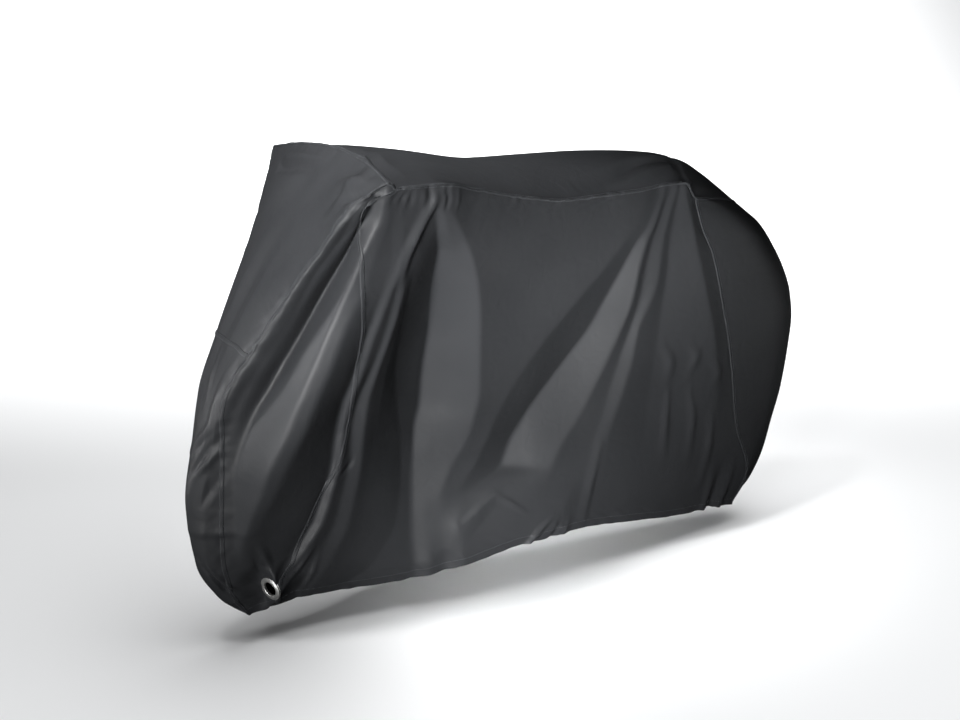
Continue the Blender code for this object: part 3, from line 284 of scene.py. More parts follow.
FRONT_FOLDS = {
    "middle": (((1.06, -0.02), (0.80, 0.00), (0.62, 0.01)), (4, -9, -2), (60, 40), (60, 40), 0.2),
    "bar_dip": (((1.09, -0.225), (1.05, -0.205), (0.99, -0.18)), (8, 8, 0), (40, 30), (30, 30), 0.5),
    "light_crease": (((0.713, 0.004), (0.662, -0.008), (0.600, -0.018)), (1, 5, 1), (14, 16), (9, 10), 0.9),
}
FRONT_TUCKS = {
    "corner_bulge": (((-0.130, 1.062), (-0.210, 1.074), (-0.262, 1.080)),
                     (4, 14, 5), (24, 20), (14, 14), 0.5),
    "corner_dip": (((-0.225, 1.046), (-0.270, 1.058), (-0.300, 1.064)),
                   (-4, -15, -5), (14, 12), (12, 10), 0.6),
    "far_crumple_1": (((0.020, 1.090), (0.100, 1.086), (0.200, 1.076)), (3, 11, 8), (10, 12), (9, 9), 0.7),
    "far_crumple_2": (((0.030, 1.068), (0.110, 1.062), (0.200, 1.050)),
                      (-3, -12, -8), (14, 14), (12, 12), 0.5),
    "toe_1": (((-0.070, 0.574), (-0.041, 0.534), (0.010, 0.478)), (2, 6, 2), (10, 10), (20, 16), 0.9),
    "toe_2": (((-0.064, 0.530), (-0.042, 0.487), (-0.011, 0.437)), (-2, -6, -2), (14, 12), (10, 10), 0.7),
    "toe_3": (((-0.060, 0.495), (-0.045, 0.467), (-0.025, 0.431)), (2, 5, 1), (8, 8), (10, 10), 0.8),
    "toe_4": (((-0.057, 0.427), (-0.045, 0.400), (-0.034, 0.368)), (-2, -5, -1), (10, 10), (12, 12), 0.7),
    "toe_edge": (((-0.080, 0.298), (-0.041, 0.299), (-0.010, 0.298)), (2, 4, 2), (12, 12), (40, 30), 0.8),
}
TOP_FOLDS = {
    "bar_roll": (((-0.47, -0.16), (-0.38, -0.10), (-0.20, -0.05)), (8, 8, 0), (60, 80), (50, 60), 0.3),
    "saddle_crease": (((0.08, -0.158), (0.202, -0.112), (0.313, -0.064), (0.433, -0.028)), (-3, -13, -5),
                      (22, 20), (34, 22), 0.6),
    "seam_shadow": (((-0.340, -0.292), (-0.290, -0.278), (-0.240, -0.264)),
                    (-3, -8, -2), (10, 10), (14, 12), 0.7),
}
TOP_TUCKS = {
    "bar_valley": (((-0.310, -0.476), (-0.233, -0.446), (-0.145, -0.442), (-0.061, -0.434), (0.020, -0.446)),
                   (-4, -14, -6), (16, 14), (34, 26), 0.6),
    "rear_tuck": (((-0.105, 0.446), (-0.073, 0.434), (-0.007, 0.452)),
                  (-8, -11, -2), (34, 20), (12, 12), 0.7),
}
FADE = 0.03               # how far past its ends a fold dies out
FACING = (0.10, 0.55)     # the folds of a panel grow as its cloth turns to face their way
TOP_FACING = (0.6, 0.9)   # the same for the top's folds
SIDE_END = (0.35, 0.65)   # and the left side's die out as its cloth turns up into the top
GATHER = 9.0              # height of the small folds that fan out from an eyelet, in mm
GATHERS = 6.0             # about how many there are in half a turn
GATHER_START = (0.034, 0.050)      # they begin between these distances from its middle
GATHER_REACH = 0.085               # how far out they have mostly died
GATHER_LENGTH = 0.2                # how far one runs before it turns into another
RANDOM_ROWS = 64          # rows and columns of the tables of random heights
GATHER_SEED, HEM_SEED, TOP_SEED = 30, 20, 21

# Small puckers that the stitches draw in the cloth, in mm and metres
UPRIGHT_SEAMS = (("front_seam", -1, 2.4), ("front_seam", 1, 1.6), ("bar_seam", -1, 1.1), ("bar_seam", 1, 1.1),
                 ("rear_seam", -1, 1.0), ("rear_seam", 1, 1.0))
PUCKER_PITCH = 0.016
PUCKER_WIDTH = 0.020
PUCKER_REACH = 0.022
TOP_PUCKER = 1.6
HEM_PUCKER = 2.0
HEM_PITCH = 0.022
HEM_PUCKER_WIDTH = 0.030
HEM_PUCKER_REACH = 0.035

SEAM_HALF = 0.0055        # half width of a felled seam
SEAM_LIFT = 0.0016        # how far it stands over the cloth
SEAM_CLEAR = 0.0001       # the least that it stands over it, at its two edges
SEAM_CLOTH = 0.0006       # thickness of its band of cloth
SEAM_POINTS = 7           # points across the band
SIDE_LINES = 5            # columns of points that a line across a seam takes in on each side
HEM_WIDTH = 0.020
STITCH_PITCH = 0.0050
STITCH_LENGTH = 0.0036
STITCH_THICK = 0.0009
STITCH_LIFT = 0.0002      # from the cloth to the thread's middle
STITCH_ROW = 0.0036       # from a seam's middle to each of its two rows of stitches

# The paper behind the cover
SWEEP_FRONT, SWEEP_BACK = 24.0, 4.5     # how far it runs before and behind the cover
SWEEP_RADIUS = 1.5
SWEEP_WIDTH = 60.0
SWEEP_LENGTH = 34.0
SWEEP_STEPS = 170

# ---- light and camera ----
# One light low at the front draws the folds, and small ones lift what it leaves too dark.
# Each is its place, what it aims at, its width and height, its power in watts and its spread in degrees
LIGHTS = {
    "key": ((-5.7, -3.6, 0.0), (-0.1, 0, -0.1), (1.2, 1.0), 17, 32),
    "front": ((-4.4, 1.4, -0.4), (-1.1, 0, -0.35), (0.5, 0.5), 0.9, 14),
    "folds": ((-3.2, -2.2, -0.7), (-0.4, -0.2, -0.2), (0.5, 0.5), 3.5, 20),
    "middle": ((-0.3, -4.5, -1.0), (-0.3, -0.2, -0.3), (0.5, 0.5), 1.6, 12),
    "foot": ((-2.6, -2.6, -0.3), (-0.4, -0.1, -0.9), (0.4, 0.4), 1.8, 15),
    "top": ((-1.9, -0.5, 2.6), (-0.65, 0.0, 0.0), (0.5, 0.5), 5, 26),
    "rear": ((3.2, -2.2, 0.1), (0.7, -0.1, -0.6), (0.5, 0.5), 0.6, 18),
    "paper": ((0.8, 1.8, 3.5), (2.0, 4.5, 0.5), (5.0, 1.0), 420, 120),
    "ground": ((0.4, -0.4, 4.5), (0.4, -0.4, 0), (6.0, 5.0), 420, 180),
}
FILL = 0.009              # strength of the even white light from all round

# The camera stands this many degrees round from the left side towards the front, looks this many
# degrees down, and is turned this many aside from the middle of the wheelbase
CAMERA_ROUND, CAMERA_DOWN, CAMERA_ASIDE = 31.1, 17.1, -1.57
CAMERA_AWAY, CAMERA_HEIGHT = 3.116, 1.525
LENS, SENSOR = 50, 36     # in mm


# ---- curves ----
def flow(knots, values, at):
    """Values on a smooth curve through the knots that never overshoots them.

    values holds a number for each knot, or a list of points for each, one for each value of at.
    """
    single = values.ndim == 1
    if single:
        values = np.broadcast_to(values[:, None, None], (len(values), len(at), 1))
    gaps = np.diff(knots)
    rises = np.diff(values, axis=0) / gaps[:, None, None]
    together = rises[:-1] * rises[1:] > 0
    sums = np.where(together, rises[:-1] + rises[1:], 1.0)
    inner = np.where(together, 2 * rises[:-1] * rises[1:] / sums, 0.0)
    slopes = np.concatenate([rises[:1], inner, rises[-1:]])
    k = np.clip(np.searchsorted(knots, at, side="right") - 1, 0, len(gaps) - 1)
    n = np.arange(len(at))
    gap = gaps[k][:, None]
    t = (at - knots[k])[:, None] / gap
    out = (1 + 2 * t) * (1 - t) ** 2 * values[k, n] + t * (1 - t) ** 2 * gap * slopes[k, n]
    out += t * t * (3 - 2 * t) * values[k + 1, n] + t * t * (t - 1) * gap * slopes[k + 1, n]
    return out[:, 0] if single else out


def smooth(low, high, value):
    """0 below low, 1 above high, and a soft step between."""
    t = np.clip((value - low) / (high - low), 0.0, 1.0)
    return t * t * (3 - 2 * t)


def unit(vectors):
    return vectors / np.maximum(np.linalg.norm(vectors, axis=-1, keepdims=True), 1e-12)


def ripple(seed, u, v):
    """Smooth random heights from -1 to 1, with about one bump in every unit of u and of v."""
    n = RANDOM_ROWS
    table = np.random.default_rng(seed).uniform(-1, 1, (n, n))
    i, j = np.floor(u).astype(int), np.floor(v).astype(int)
    s, t = smooth(0, 1, u - i), smooth(0, 1, v - j)
    near = table[i % n, j % n] * (1 - s) + table[(i + 1) % n, j % n] * s
    far = table[i % n, (j + 1) % n] * (1 - s) + table[(i + 1) % n, (j + 1) % n] * s
    return near * (1 - t) + far * t


# ---- the unfolded cover: a skirt of sections and a roof over it ----
NAMES = list(RIBS)
LOOP = [(name, -1) for name in NAMES] + [(name, 1) for name in NAMES[-2:0:-1]]
LOOP_STEPS = [STEPS[name] for name in NAMES[:-1]] + [STEPS[name] for name in NAMES[-2::-1]]


def rib_points(name, side, share):
    """Points down a section, at shares of its height from its top to its hem."""
    rows = RIGHT_RIBS.get(name, RIBS[name]) if side > 0 else RIBS[name]
    table = np.array(rows[::-1])
    height = rows[0][0] + (rows[-1][0] - rows[0][0]) * share
    x = flow(table[:, 0], table[:, 1], height)
    half = flow(table[:, 0], table[:, 2], height)
    return np.stack([x, side * half, height], 1)


def skirt_points(places, shares):
    """Points of the skirt: a row for each share of its height, a column for each place around it."""
    count = len(LOOP)
    order = np.arange(-2.0, count + 3)
    sections = np.stack([rib_points(*LOOP[int(k) % count], shares) for k in order], 1)
    wide = (len(order), len(places), 3)
    return np.stack([flow(order, np.broadcast_to(row[:, None], wide), places) for row in sections])


def roof_points(border):
    """The top between its left and right edges, over its ridge. border holds (across, along) points."""
    across, along = border.shape[:2]
    t = np.linspace(0, 1, along)
    left, right = border[0], border[-1]
    lead = LEAD[0] * (1 - t) ** 2 + LEAD[1] * t ** 3
    ridge_x = (left[:, 0] + right[:, 0]) / 2 + lead
    table = np.array(RIDGE)
    ridge = np.stack([ridge_x, np.zeros(along), flow(table[:, 0], table[:, 1], ridge_x)], 1)
    q = np.abs(np.linspace(-1, 1, across))[:, None, None]
    edge = np.where(np.arange(across)[:, None, None] < across / 2, left, right)
    top = ridge + (edge - ridge) * q
    top[:, :, 2] = (ridge + (edge - ridge) * q ** CROWN)[:, :, 2]
    front = (border[:, :1] - top[:, :1]) * (1 - t)[None, :, None] ** 3
    rear = (border[:, -1:] - top[:, -1:]) * t[None, :, None] ** 3
    return top + front + rear


def eyelet_frame(side):
    """Where an eyelet sits on the cloth and how it faces: its middle, two axes across it, outward."""
    first, last = LOOP.index(("front_seam", side)), LOOP.index(("bar_seam", side))
    around = first + (last - first) * EYELET_AT[0]
    share = STRIP_TOP + (1 - STRIP_TOP) * EYELET_AT[1]
    middle = skirt_points(np.array([around]), np.array([share]))[0, 0]
    outward = unit(np.array(EYELET_FACING) * (1, -side, 1))
    level = unit(np.cross(outward, (0, 0, 1.0)))
    return middle, level, np.cross(outward, level), outward


def corners(grid):
    """The four corners of each face of a grid of point numbers, turned to face outwards."""
    faces = (grid[:-1, :-1], grid[1:, :-1], grid[1:, 1:], grid[:-1, 1:])
    return np.stack([corner.ravel() for corner in faces], 1)


class Cloth:
    """The cover's cloth as one surface: a skirt, rows down and columns around, and a roof over it.

    skirt and roof hold point numbers, and the roof's border is the skirt's first row.
    """

    def __init__(self):
        shares = [np.linspace(low, high, steps * FINE_ROWS + 1)[:-1] for low, high, steps in ROW_BANDS]
        shares = np.concatenate(shares + [[1.0]])
        places = [k + np.arange(steps * FINE_COLUMNS) / (steps * FINE_COLUMNS)
                  for k, steps in enumerate(LOOP_STEPS)]
        skirt = skirt_points(np.concatenate(places), shares)
        rows, self.columns = skirt.shape[:2]
        self.skirt = np.arange(rows * self.columns).reshape(rows, self.columns)
        self.join = int(np.argmin(np.abs(shares - CROSS_JOIN)))
        seam, rear = self.column("front_seam"), self.column("rear_seam")
        width, length = 2 * seam, rear - seam
        self.roof = np.zeros((width + 1, length + 1), int)
        self.roof[:, 0] = (seam - np.arange(width + 1)) % self.columns
        self.roof[:, -1] = rear + np.arange(width + 1)
        self.roof[0] = seam + np.arange(length + 1)
        self.roof[-1] = self.column("front_seam", 1) - np.arange(length + 1)
        skirt = skirt.reshape(-1, 3)
        top = roof_points(skirt[self.roof])
        inner = np.arange((width - 1) * (length - 1)).reshape(width - 1, length - 1)
        self.roof[1:-1, 1:-1] = inner + len(skirt)
        self.points = np.concatenate([skirt, top[1:-1, 1:-1].reshape(-1, 3)])
        self.quads = np.concatenate([corners(self.around(0, self.columns)), corners(self.roof.T)])

    def column(self, name, side=-1):
        """The column of points that a section lies on, on the left (-1) or the right (1)."""
        return sum(LOOP_STEPS[:LOOP.index((name, side))]) * FINE_COLUMNS

    def around(self, first, last):
        """Point numbers of the skirt from one column to another, both counted in."""
        return self.skirt[:, np.arange(first, last + 1) % self.columns]

    def facing(self):
        p = self.points[self.quads]
        turn = np.cross(p[:, 2] - p[:, 0], p[:, 3] - p[:, 1])
        total = [np.bincount(self.quads.ravel(), np.repeat(turn[:, k], 4), len(self.points))
                 for k in range(3)]
        return unit(np.stack(total, 1))

    def lift(self, heights):
        """Move every point along its own facing."""
        self.points = self.points + self.facing() * heights[:, None]

    def lengths(self):
        """How far each point of the skirt is along its row, and down its column, in metres."""
        p = self.points[self.around(0, self.columns)]
        across = np.cumsum(np.linalg.norm(np.diff(p, axis=1), axis=2), 1)
        down = np.cumsum(np.linalg.norm(np.diff(p[:, :-1], axis=0), axis=2), 0)
        across = np.concatenate([np.zeros((len(p), 1)), across[:, :-1]], 1)
        return across, np.concatenate([np.zeros((1, self.columns)), down])


# ---- the folds ----
def fold_rise(folds, along, across):
    """How far a table of folds lifts the cloth, in metres."""
    total = np.zeros(len(along))
    for line, rise, before, behind, crisp in folds.values():
        start, end = line[0][0], line[-1][0]
        low, high = min(start, end), max(start, end)
        table = np.array(sorted(line))
        inside = np.clip(along, low, high)
        middle = flow(table[:, 0], table[:, 1], inside)
        step = 0.01
        ahead = flow(table[:, 0], table[:, 1], np.clip(along + step, low, high))
        behind_it = flow(table[:, 0], table[:, 1], np.clip(along - step, low, high))
        lean = (ahead - behind_it) / (2 * step)
        distance = (across - middle) / np.sqrt(1 + lean * lean)
        share = (inside - start) / (end - start)
        flank = np.where(distance < 0, np.interp(share, (0, 1), before), np.interp(share, (0, 1), behind))
        reach = np.clip(np.abs(distance) / (flank * MM), 0, 1)
        profile = crisp * (1 - reach) + (1 - crisp) * (0.5 + 0.5 * np.cos(math.pi * reach))
        beyond = np.maximum(low - along, along - high)
        fade = min(FADE, (high - low) / 2)
        height = np.interp(share, (0, 0.5, 1), rise) * MM
        total += height * profile * (1 - smooth(0, fade, beyond))
    return total


def crease_rise(creases, height, x):
    """How far the flat facets between a table of creases stand out, in metres."""
    place, depth = [], []
    for rows in creases.values():
        rows = np.array(sorted(rows))
        inside = np.clip(height, rows[0, 0], rows[-1, 0])
        place.append(flow(rows[:, 0], rows[:, 1], inside))
        depth.append(flow(rows[:, 0], rows[:, 2], inside) * MM)
    place, depth = np.maximum.accumulate(place), np.array(depth)
    half = np.interp(height, *zip(*CREASE_ROUND))
    point = np.arange(len(x))
    total = np.zeros(len(x))
    for step, weight in ROUND_STEPS:
        at = x + step * half
        k = np.clip((place <= at).sum(0) - 1, 0, len(place) - 2)
        gap = np.maximum(place[k + 1, point] - place[k, point], 1e-6)
        share = np.clip((at - place[k, point]) / gap, 0, 1)
        total += weight * (depth[k, point] * (1 - share) + depth[k + 1, point] * share)
    return total / sum(weight for step, weight in ROUND_STEPS)


def main_folds(cloth):
    """The folds that hang from the ends of the handlebar and from the saddle."""
    p, facing = cloth.points, cloth.facing()
    x, y, height = p.T
    left = crease_rise(LEFT_CREASES, height, x) + fold_rise(LEFT_FOLDS, height, x)
    left += fold_rise(LEFT_TUCKS, x, height)
    front = fold_rise(FRONT_FOLDS, height, y) + fold_rise(FRONT_TUCKS, y, height)
    top = fold_rise(TOP_FOLDS, x, y) + fold_rise(TOP_TUCKS, y, x)
    rise = left * smooth(*FACING, -facing[:, 1]) * (1 - smooth(*SIDE_END, facing[:, 2]))
    rise += fold_rise(RIGHT_FOLDS, height, x) * smooth(*FACING, facing[:, 1])
    rise += front * smooth(*FACING, -facing[:, 0])
    rise += top * smooth(*TOP_FACING, facing[:, 2])
    for side in (-1, 1):
        middle, level, rising, outward = eyelet_frame(side)
        away = p - middle
        apart = np.linalg.norm(away, axis=1)
        rise *= smooth(*FLAT_ROUND_EYELET, apart)
        turn = np.arctan2(away @ rising, away @ level)
        spoke = ripple(GATHER_SEED, RANDOM_ROWS / 2 + turn * GATHERS / math.pi, apart / GATHER_LENGTH)
        rise += GATHER * MM * spoke * smooth(*GATHER_START, apart) * np.exp(-(apart / GATHER_REACH) ** 2)
    cloth.lift(rise)


def flatten_collars(cloth):
    """The cloth lies flat where the flanges of an eyelet grip it."""
    for side in (-1, 1):
        middle, level, rising, outward = eyelet_frame(side)
        away = cloth.points - middle
        hold = 1 - smooth(COLLAR, COLLAR_FADE * COLLAR, np.linalg.norm(away, axis=1))
        cloth.points = cloth.points - (hold * (away @ outward))[:, None] * outward


def puckers(cloth):
    """Small puckers that the stitches draw along each seam and along the hem."""
    across, down = cloth.lengths()
    rise = np.zeros(cloth.skirt.shape)
    for seed, (name, side, strength) in enumerate(UPRIGHT_SEAMS):
        c = cloth.column(name, side)
        away = np.abs(across - across[:, c:c + 1])
        along = np.broadcast_to(down[:, c:c + 1] / PUCKER_PITCH, away.shape)
        rise += strength * ripple(seed, along, away / PUCKER_WIDTH) * np.exp(-(away / PUCKER_REACH) ** 2)
    hem = down[-1] - down
    near_hem = np.exp(-(hem / HEM_PUCKER_REACH) ** 2)
    rise += HEM_PUCKER * ripple(HEM_SEED, across / HEM_PITCH, hem / HEM_PUCKER_WIDTH) * near_hem
    near_top = np.exp(-(down / PUCKER_REACH) ** 2)
    rise += TOP_PUCKER * ripple(TOP_SEED, across / PUCKER_PITCH, down / PUCKER_WIDTH) * near_top
    heights = np.zeros(len(cloth.points))
    heights[cloth.skirt] = rise * MM
    cloth.lift(heights)


# ---- sheets ----
def show(name, mesh, finish):
    """Put a finished mesh in the scene, on the cover's body."""
    mesh.materials.clear()
    mesh.materials.append(finish)
    thing = bpy.data.objects.new(name, mesh)
    bpy.context.scene.collection.objects.link(thing)
    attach(thing, "root")
    return thing


def sheet_mesh(name, points, facing, hole=None):
    """A mesh of a grid of points, rows by columns, with its lengths in metres as its UV map."""
    rows, columns = points.shape[:2]
    across = np.cumsum(np.linalg.norm(np.diff(points, axis=1), axis=2), 1)
    across = np.concatenate([np.zeros((rows, 1)), across], 1)
    across -= across[:, columns // 2:columns // 2 + 1]
    down = np.concatenate([[0], np.cumsum(np.linalg.norm(np.diff(points, axis=0), axis=2).mean(1))])
    measure = np.stack([across, np.broadcast_to(down[:, None], across.shape)], 2).reshape(-1, 2)
    work = bmesh.new()
    bmesh.ops.create_grid(work, x_segments=columns - 1, y_segments=rows - 1, size=1.0)
    layer = work.loops.layers.uv.new("cloth")
    work.verts.ensure_lookup_table()
    for vert, place in zip(work.verts, points.reshape(-1, 3) - ORIGIN):
        vert.co = place
    for face in work.faces:
        for loop in face.loops:
            loop[layer].uv = measure[loop.vert.index]
    work.normal_update()
    work.faces.ensure_lookup_table()
    # the grid comes out the same way round everywhere, so a few faces tell which way that is
    outward = facing.reshape(-1, 3)
    agree = [face.normal.dot(outward[face.verts[0].index]) > 0 for face in list(work.faces)[::97]]
    if sum(agree) < len(agree) / 2:
        bmesh.ops.reverse_faces(work, faces=work.faces)
    if hole:
        cut_hole(work, *hole)
    mesh = bpy.data.meshes.new(name)
    work.to_mesh(mesh)
    work.free()
    mesh.shade_smooth()
    return mesh


def cut_hole(work, middle, outward, radius):
    """A round hole through a sheet: the faces inside it go, and the rim that they leave is rounded."""
    inside = [face for face in work.faces if (face.calc_center_median() - middle).length < radius]
    bmesh.ops.delete(work, geom=inside, context="FACES")
    for vert in work.verts:
        away = vert.co - middle
        if vert.is_boundary and away.length < 2 * radius:
            away -= outward * away.dot(outward)
            vert.co = middle + away.normalized() * radius


def thicken(thing, thickness):
    """Give a sheet its thickness, away from the side that it faces."""
    solid = thing.modifiers.new("thickness", "SOLIDIFY")
    solid.thickness = thickness
    solid.offset = -1
    solid.use_even_offset = False
    graph = bpy.context.evaluated_depsgraph_get()
    mesh = bpy.data.meshes.new_from_object(thing.evaluated_get(graph))
    mesh.name = thing.name
    mesh.set_sharp_from_angle(angle=math.radians(75))
    thing.modifiers.clear()
    thing.data = mesh


def panel(cloth, facing, name, grid, nodes, finish, side):
    """One cut piece of cloth. grid holds its points, and nodes are the solids that it stands for.

    side is -1 or 1 where it has the hole for the left or the right eyelet, and 0 where it has none.
    """
    hole = None
    if side:
        middle, level, rising, outward = eyelet_frame(side)
        hole = (Vector(middle - ORIGIN), Vector(outward), CLOTH_HOLE)
    mesh = sheet_mesh(name, cloth.points[grid], facing[grid], hole)
    thing = show(name, mesh, finish)
    thicken(thing, CLOTH)
    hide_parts(*nodes)
    return thing


# ---- seams, hem and stitches ----
def seam_lines(cloth):
    """Lines of point numbers across each seam, with the seam at the middle of each line."""
    n = SIDE_LINES
    skirt, roof = cloth.skirt, cloth.roof
    lines = {}
    for name, side, strength in UPRIGHT_SEAMS:
        c = cloth.column(name, side)
        key = name + ("_left" if side < 0 else "_right")
        lines[key] = cloth.around(c - n, c + n)
    left, right = cloth.column("front_seam"), cloth.column("front_seam", 1)
    rear, last = cloth.column("rear_seam"), cloth.column("rear_seam", 1)
    below = skirt[:n + 1]
    lines["top_seam_left"] = np.concatenate([roof[n:0:-1].T, below[:, left:rear + 1].T], 1)
    lines["top_seam_right"] = np.concatenate([roof[-n - 1:-1].T, below[:, last:right + 1].T[::-1]], 1)
    ahead = (left - np.arange(len(roof))) % cloth.columns
    lines["top_seam_front"] = np.concatenate([roof[:, n:0:-1], below[:, ahead].T], 1)
    lines["top_seam_rear"] = np.concatenate([roof[:, -n - 1:-1], below[:, rear:last + 1].T], 1)
    front = cloth.around(right - cloth.columns, left)
    lines["cross_join"] = front[cloth.join - n:cloth.join + n + 1].T
    return lines


def across_seam(values, points, lines, offsets):
    """Values at distances to each side of the middle of lines across a seam."""
    p = points[lines]
    step = np.linalg.norm(np.diff(p, axis=1), axis=2)
    reach = np.concatenate([np.zeros((len(p), 1)), np.cumsum(step, 1)], 1)
    reach -= reach[:, lines.shape[1] // 2][:, None]
    found = [[np.interp(offsets, r, row[:, k]) for k in range(3)] for r, row in zip(reach, values[lines])]
    return np.array(found).transpose(0, 2, 1)


def felled_seam(name, cloth, facing, lines, finish):
    """The doubled band of cloth over a seam."""
    offsets = np.linspace(-SEAM_HALF, SEAM_HALF, SEAM_POINTS)
    base = across_seam(cloth.points, cloth.points, lines, offsets)
    up = unit(across_seam(facing, cloth.points, lines, offsets))
    dome = SEAM_LIFT * (1 - (offsets / SEAM_HALF) ** 4) + SEAM_CLEAR
    band = show(name, sheet_mesh(name, base + up * dome[:, None], up), finish)
    thicken(band, SEAM_CLOTH)
    return band


def bead():
    """One stitch, a short round-ended bead of thread: its points, and the points of each face."""
    work = bmesh.new()
    size = Matrix.Diagonal((STITCH_THICK / 2, STITCH_THICK / 2, STITCH_LENGTH / 2, 1))
    bmesh.ops.create_uvsphere(work, u_segments=5, v_segments=3, radius=1, matrix=size)
    work.verts.index_update()
    points = np.array([vert.co for vert in work.verts])
    faces = [[vert.index for vert in face.verts] for face in work.faces]
    work.free()
    return points, faces


def stitch_row(path, up):
    """Where each stitch of a row lies along a path, and its two sides and its length as axes."""
    far = np.concatenate([[0], np.cumsum(np.linalg.norm(np.diff(path, axis=0), axis=1))])
    at = np.arange(STITCH_PITCH, far[-1] - STITCH_PITCH, STITCH_PITCH)
    middle = np.stack([np.interp(at, far, path[:, k]) for k in range(3)], 1)
    ahead = np.stack([np.interp(at + STITCH_PITCH / 2, far, path[:, k]) for k in range(3)], 1)
    rise = np.stack([np.interp(at, far, up[:, k]) for k in range(3)], 1)
    along = unit(ahead - middle)
    side = unit(np.cross(rise, along))
    return middle - ORIGIN, np.stack([side, np.cross(along, side), along], 1)


def stitches(name, cloth, facing, lines, offsets, lift, finish):
    """The rows of stitches along a seam, at distances to each side of its middle."""
    offsets = np.array(offsets)
    paths = across_seam(cloth.points, cloth.points, lines, offsets)
    up = unit(across_seam(facing, cloth.points, lines, offsets))
    rows = [stitch_row(paths[:, k] + up[:, k] * lift, up[:, k]) for k in range(len(offsets))]
    middles = np.concatenate([row[0] for row in rows])
    axes = np.concatenate([row[1] for row in rows])
    points, faces = bead()
    placed = middles[:, None] + points @ axes
    faces = [[k * len(points) + n for n in face] for k in range(len(middles)) for face in faces]
    mesh = bpy.data.meshes.new(name)
    mesh.from_pydata(placed.reshape(-1, 3).tolist(), [], faces)
    mesh.shade_smooth()
    return show(name, mesh, finish)


def hem_lines(cloth):
    """Lines of point numbers up from the hem, which is at the middle of each line."""
    rows = cloth.around(0, cloth.columns)[-1 - SIDE_LINES:]
    below = np.repeat(rows[-1:], SIDE_LINES, 0)
    return np.concatenate([rows, below]).T


def eyelet(name, side, finish):
    """A two-sided rolled ring that grips the edge of the hole in its cloth."""
    plate_top = EYELET_GRIP + EYELET_PLATE
    half = [(CLOTH_HOLE - EYELET_EASE, EYELET_GRIP), (EYELET_RIM - EYELET_EDGE, EYELET_GRIP),
            (EYELET_RIM, EYELET_GRIP + EYELET_PLATE * EYELET_WIDEST),
            (EYELET_RIM - 2 * EYELET_EDGE, plate_top)]
    inner, outer = EYELET_HOLE, EYELET_RIM - EYELET_LIP
    middle, reach = (inner + outer) / 2, (outer - inner) / 2
    for turn in np.linspace(0, math.pi, EYELET_ROLL):
        height = plate_top + (EYELET_DOME - plate_top) * math.sin(turn) ** EYELET_FULL
        half.append((middle + reach * math.cos(turn), height))
    profile = half + [(r, -h) for r, h in reversed(half)]
    work = bmesh.new()
    verts = [work.verts.new((r, 0, h)) for r, h in profile]
    edges = [work.edges.new(pair) for pair in zip(verts, verts[1:] + verts[:1])]
    bmesh.ops.spin(work, geom=verts + edges, cent=(0, 0, 0), axis=(0, 0, 1), angle=2 * math.pi,
                   steps=EYELET_STEPS, use_merge=True)
    bmesh.ops.recalc_face_normals(work, faces=work.faces)
    middle, level, rising, outward = eyelet_frame(side)
    turn = Matrix((level, rising, outward)).transposed().to_4x4()
    turn.translation = Vector(middle - outward * CLOTH / 2 - ORIGIN)
    bmesh.ops.transform(work, matrix=turn, verts=work.verts)
    mesh = bpy.data.meshes.new(name)
    work.to_mesh(mesh)
    work.free()
    mesh.shade_smooth()
    mesh.set_sharp_from_angle(angle=math.radians(60))
    ring = show(name, mesh, finish)
    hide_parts(name.replace("_ring", ""))
    return ring


# ---- materials ----
def linear(code, alpha=1.0):
    """A colour written as an sRGB hex value, in linear light."""
    parts = [int(code[k:k + 2], 16) / 255 for k in (1, 3, 5)]
    light = [c / 12.92 if c <= 0.04045 else ((c + 0.055) / 1.055) ** 2.4 for c in parts]
    return (*light, alpha)


def add(tree, kind, inputs=(), **settings):
    """Add a node. inputs gives its sockets a value each, or the output that feeds them."""
    node = tree.nodes.new(kind)
    for name, value in settings.items():
        setattr(node, name, value)
    for socket, value in dict(inputs).items():
        if isinstance(value, bpy.types.NodeSocket):
            tree.links.new(value, node.inputs[socket])
        else:
            node.inputs[socket].default_value = value
    return node


def new_material(name, **fixed):
    """A material whose shader has some fixed settings, with its node tree and that shader."""
    made = bpy.data.materials.new(name)
    made.use_nodes = True
    shader = made.node_tree.nodes["Principled BSDF"]
    for socket, value in fixed.items():
        shader.inputs[socket.replace("_", " ")].default_value = value
    return made, made.node_tree, shader


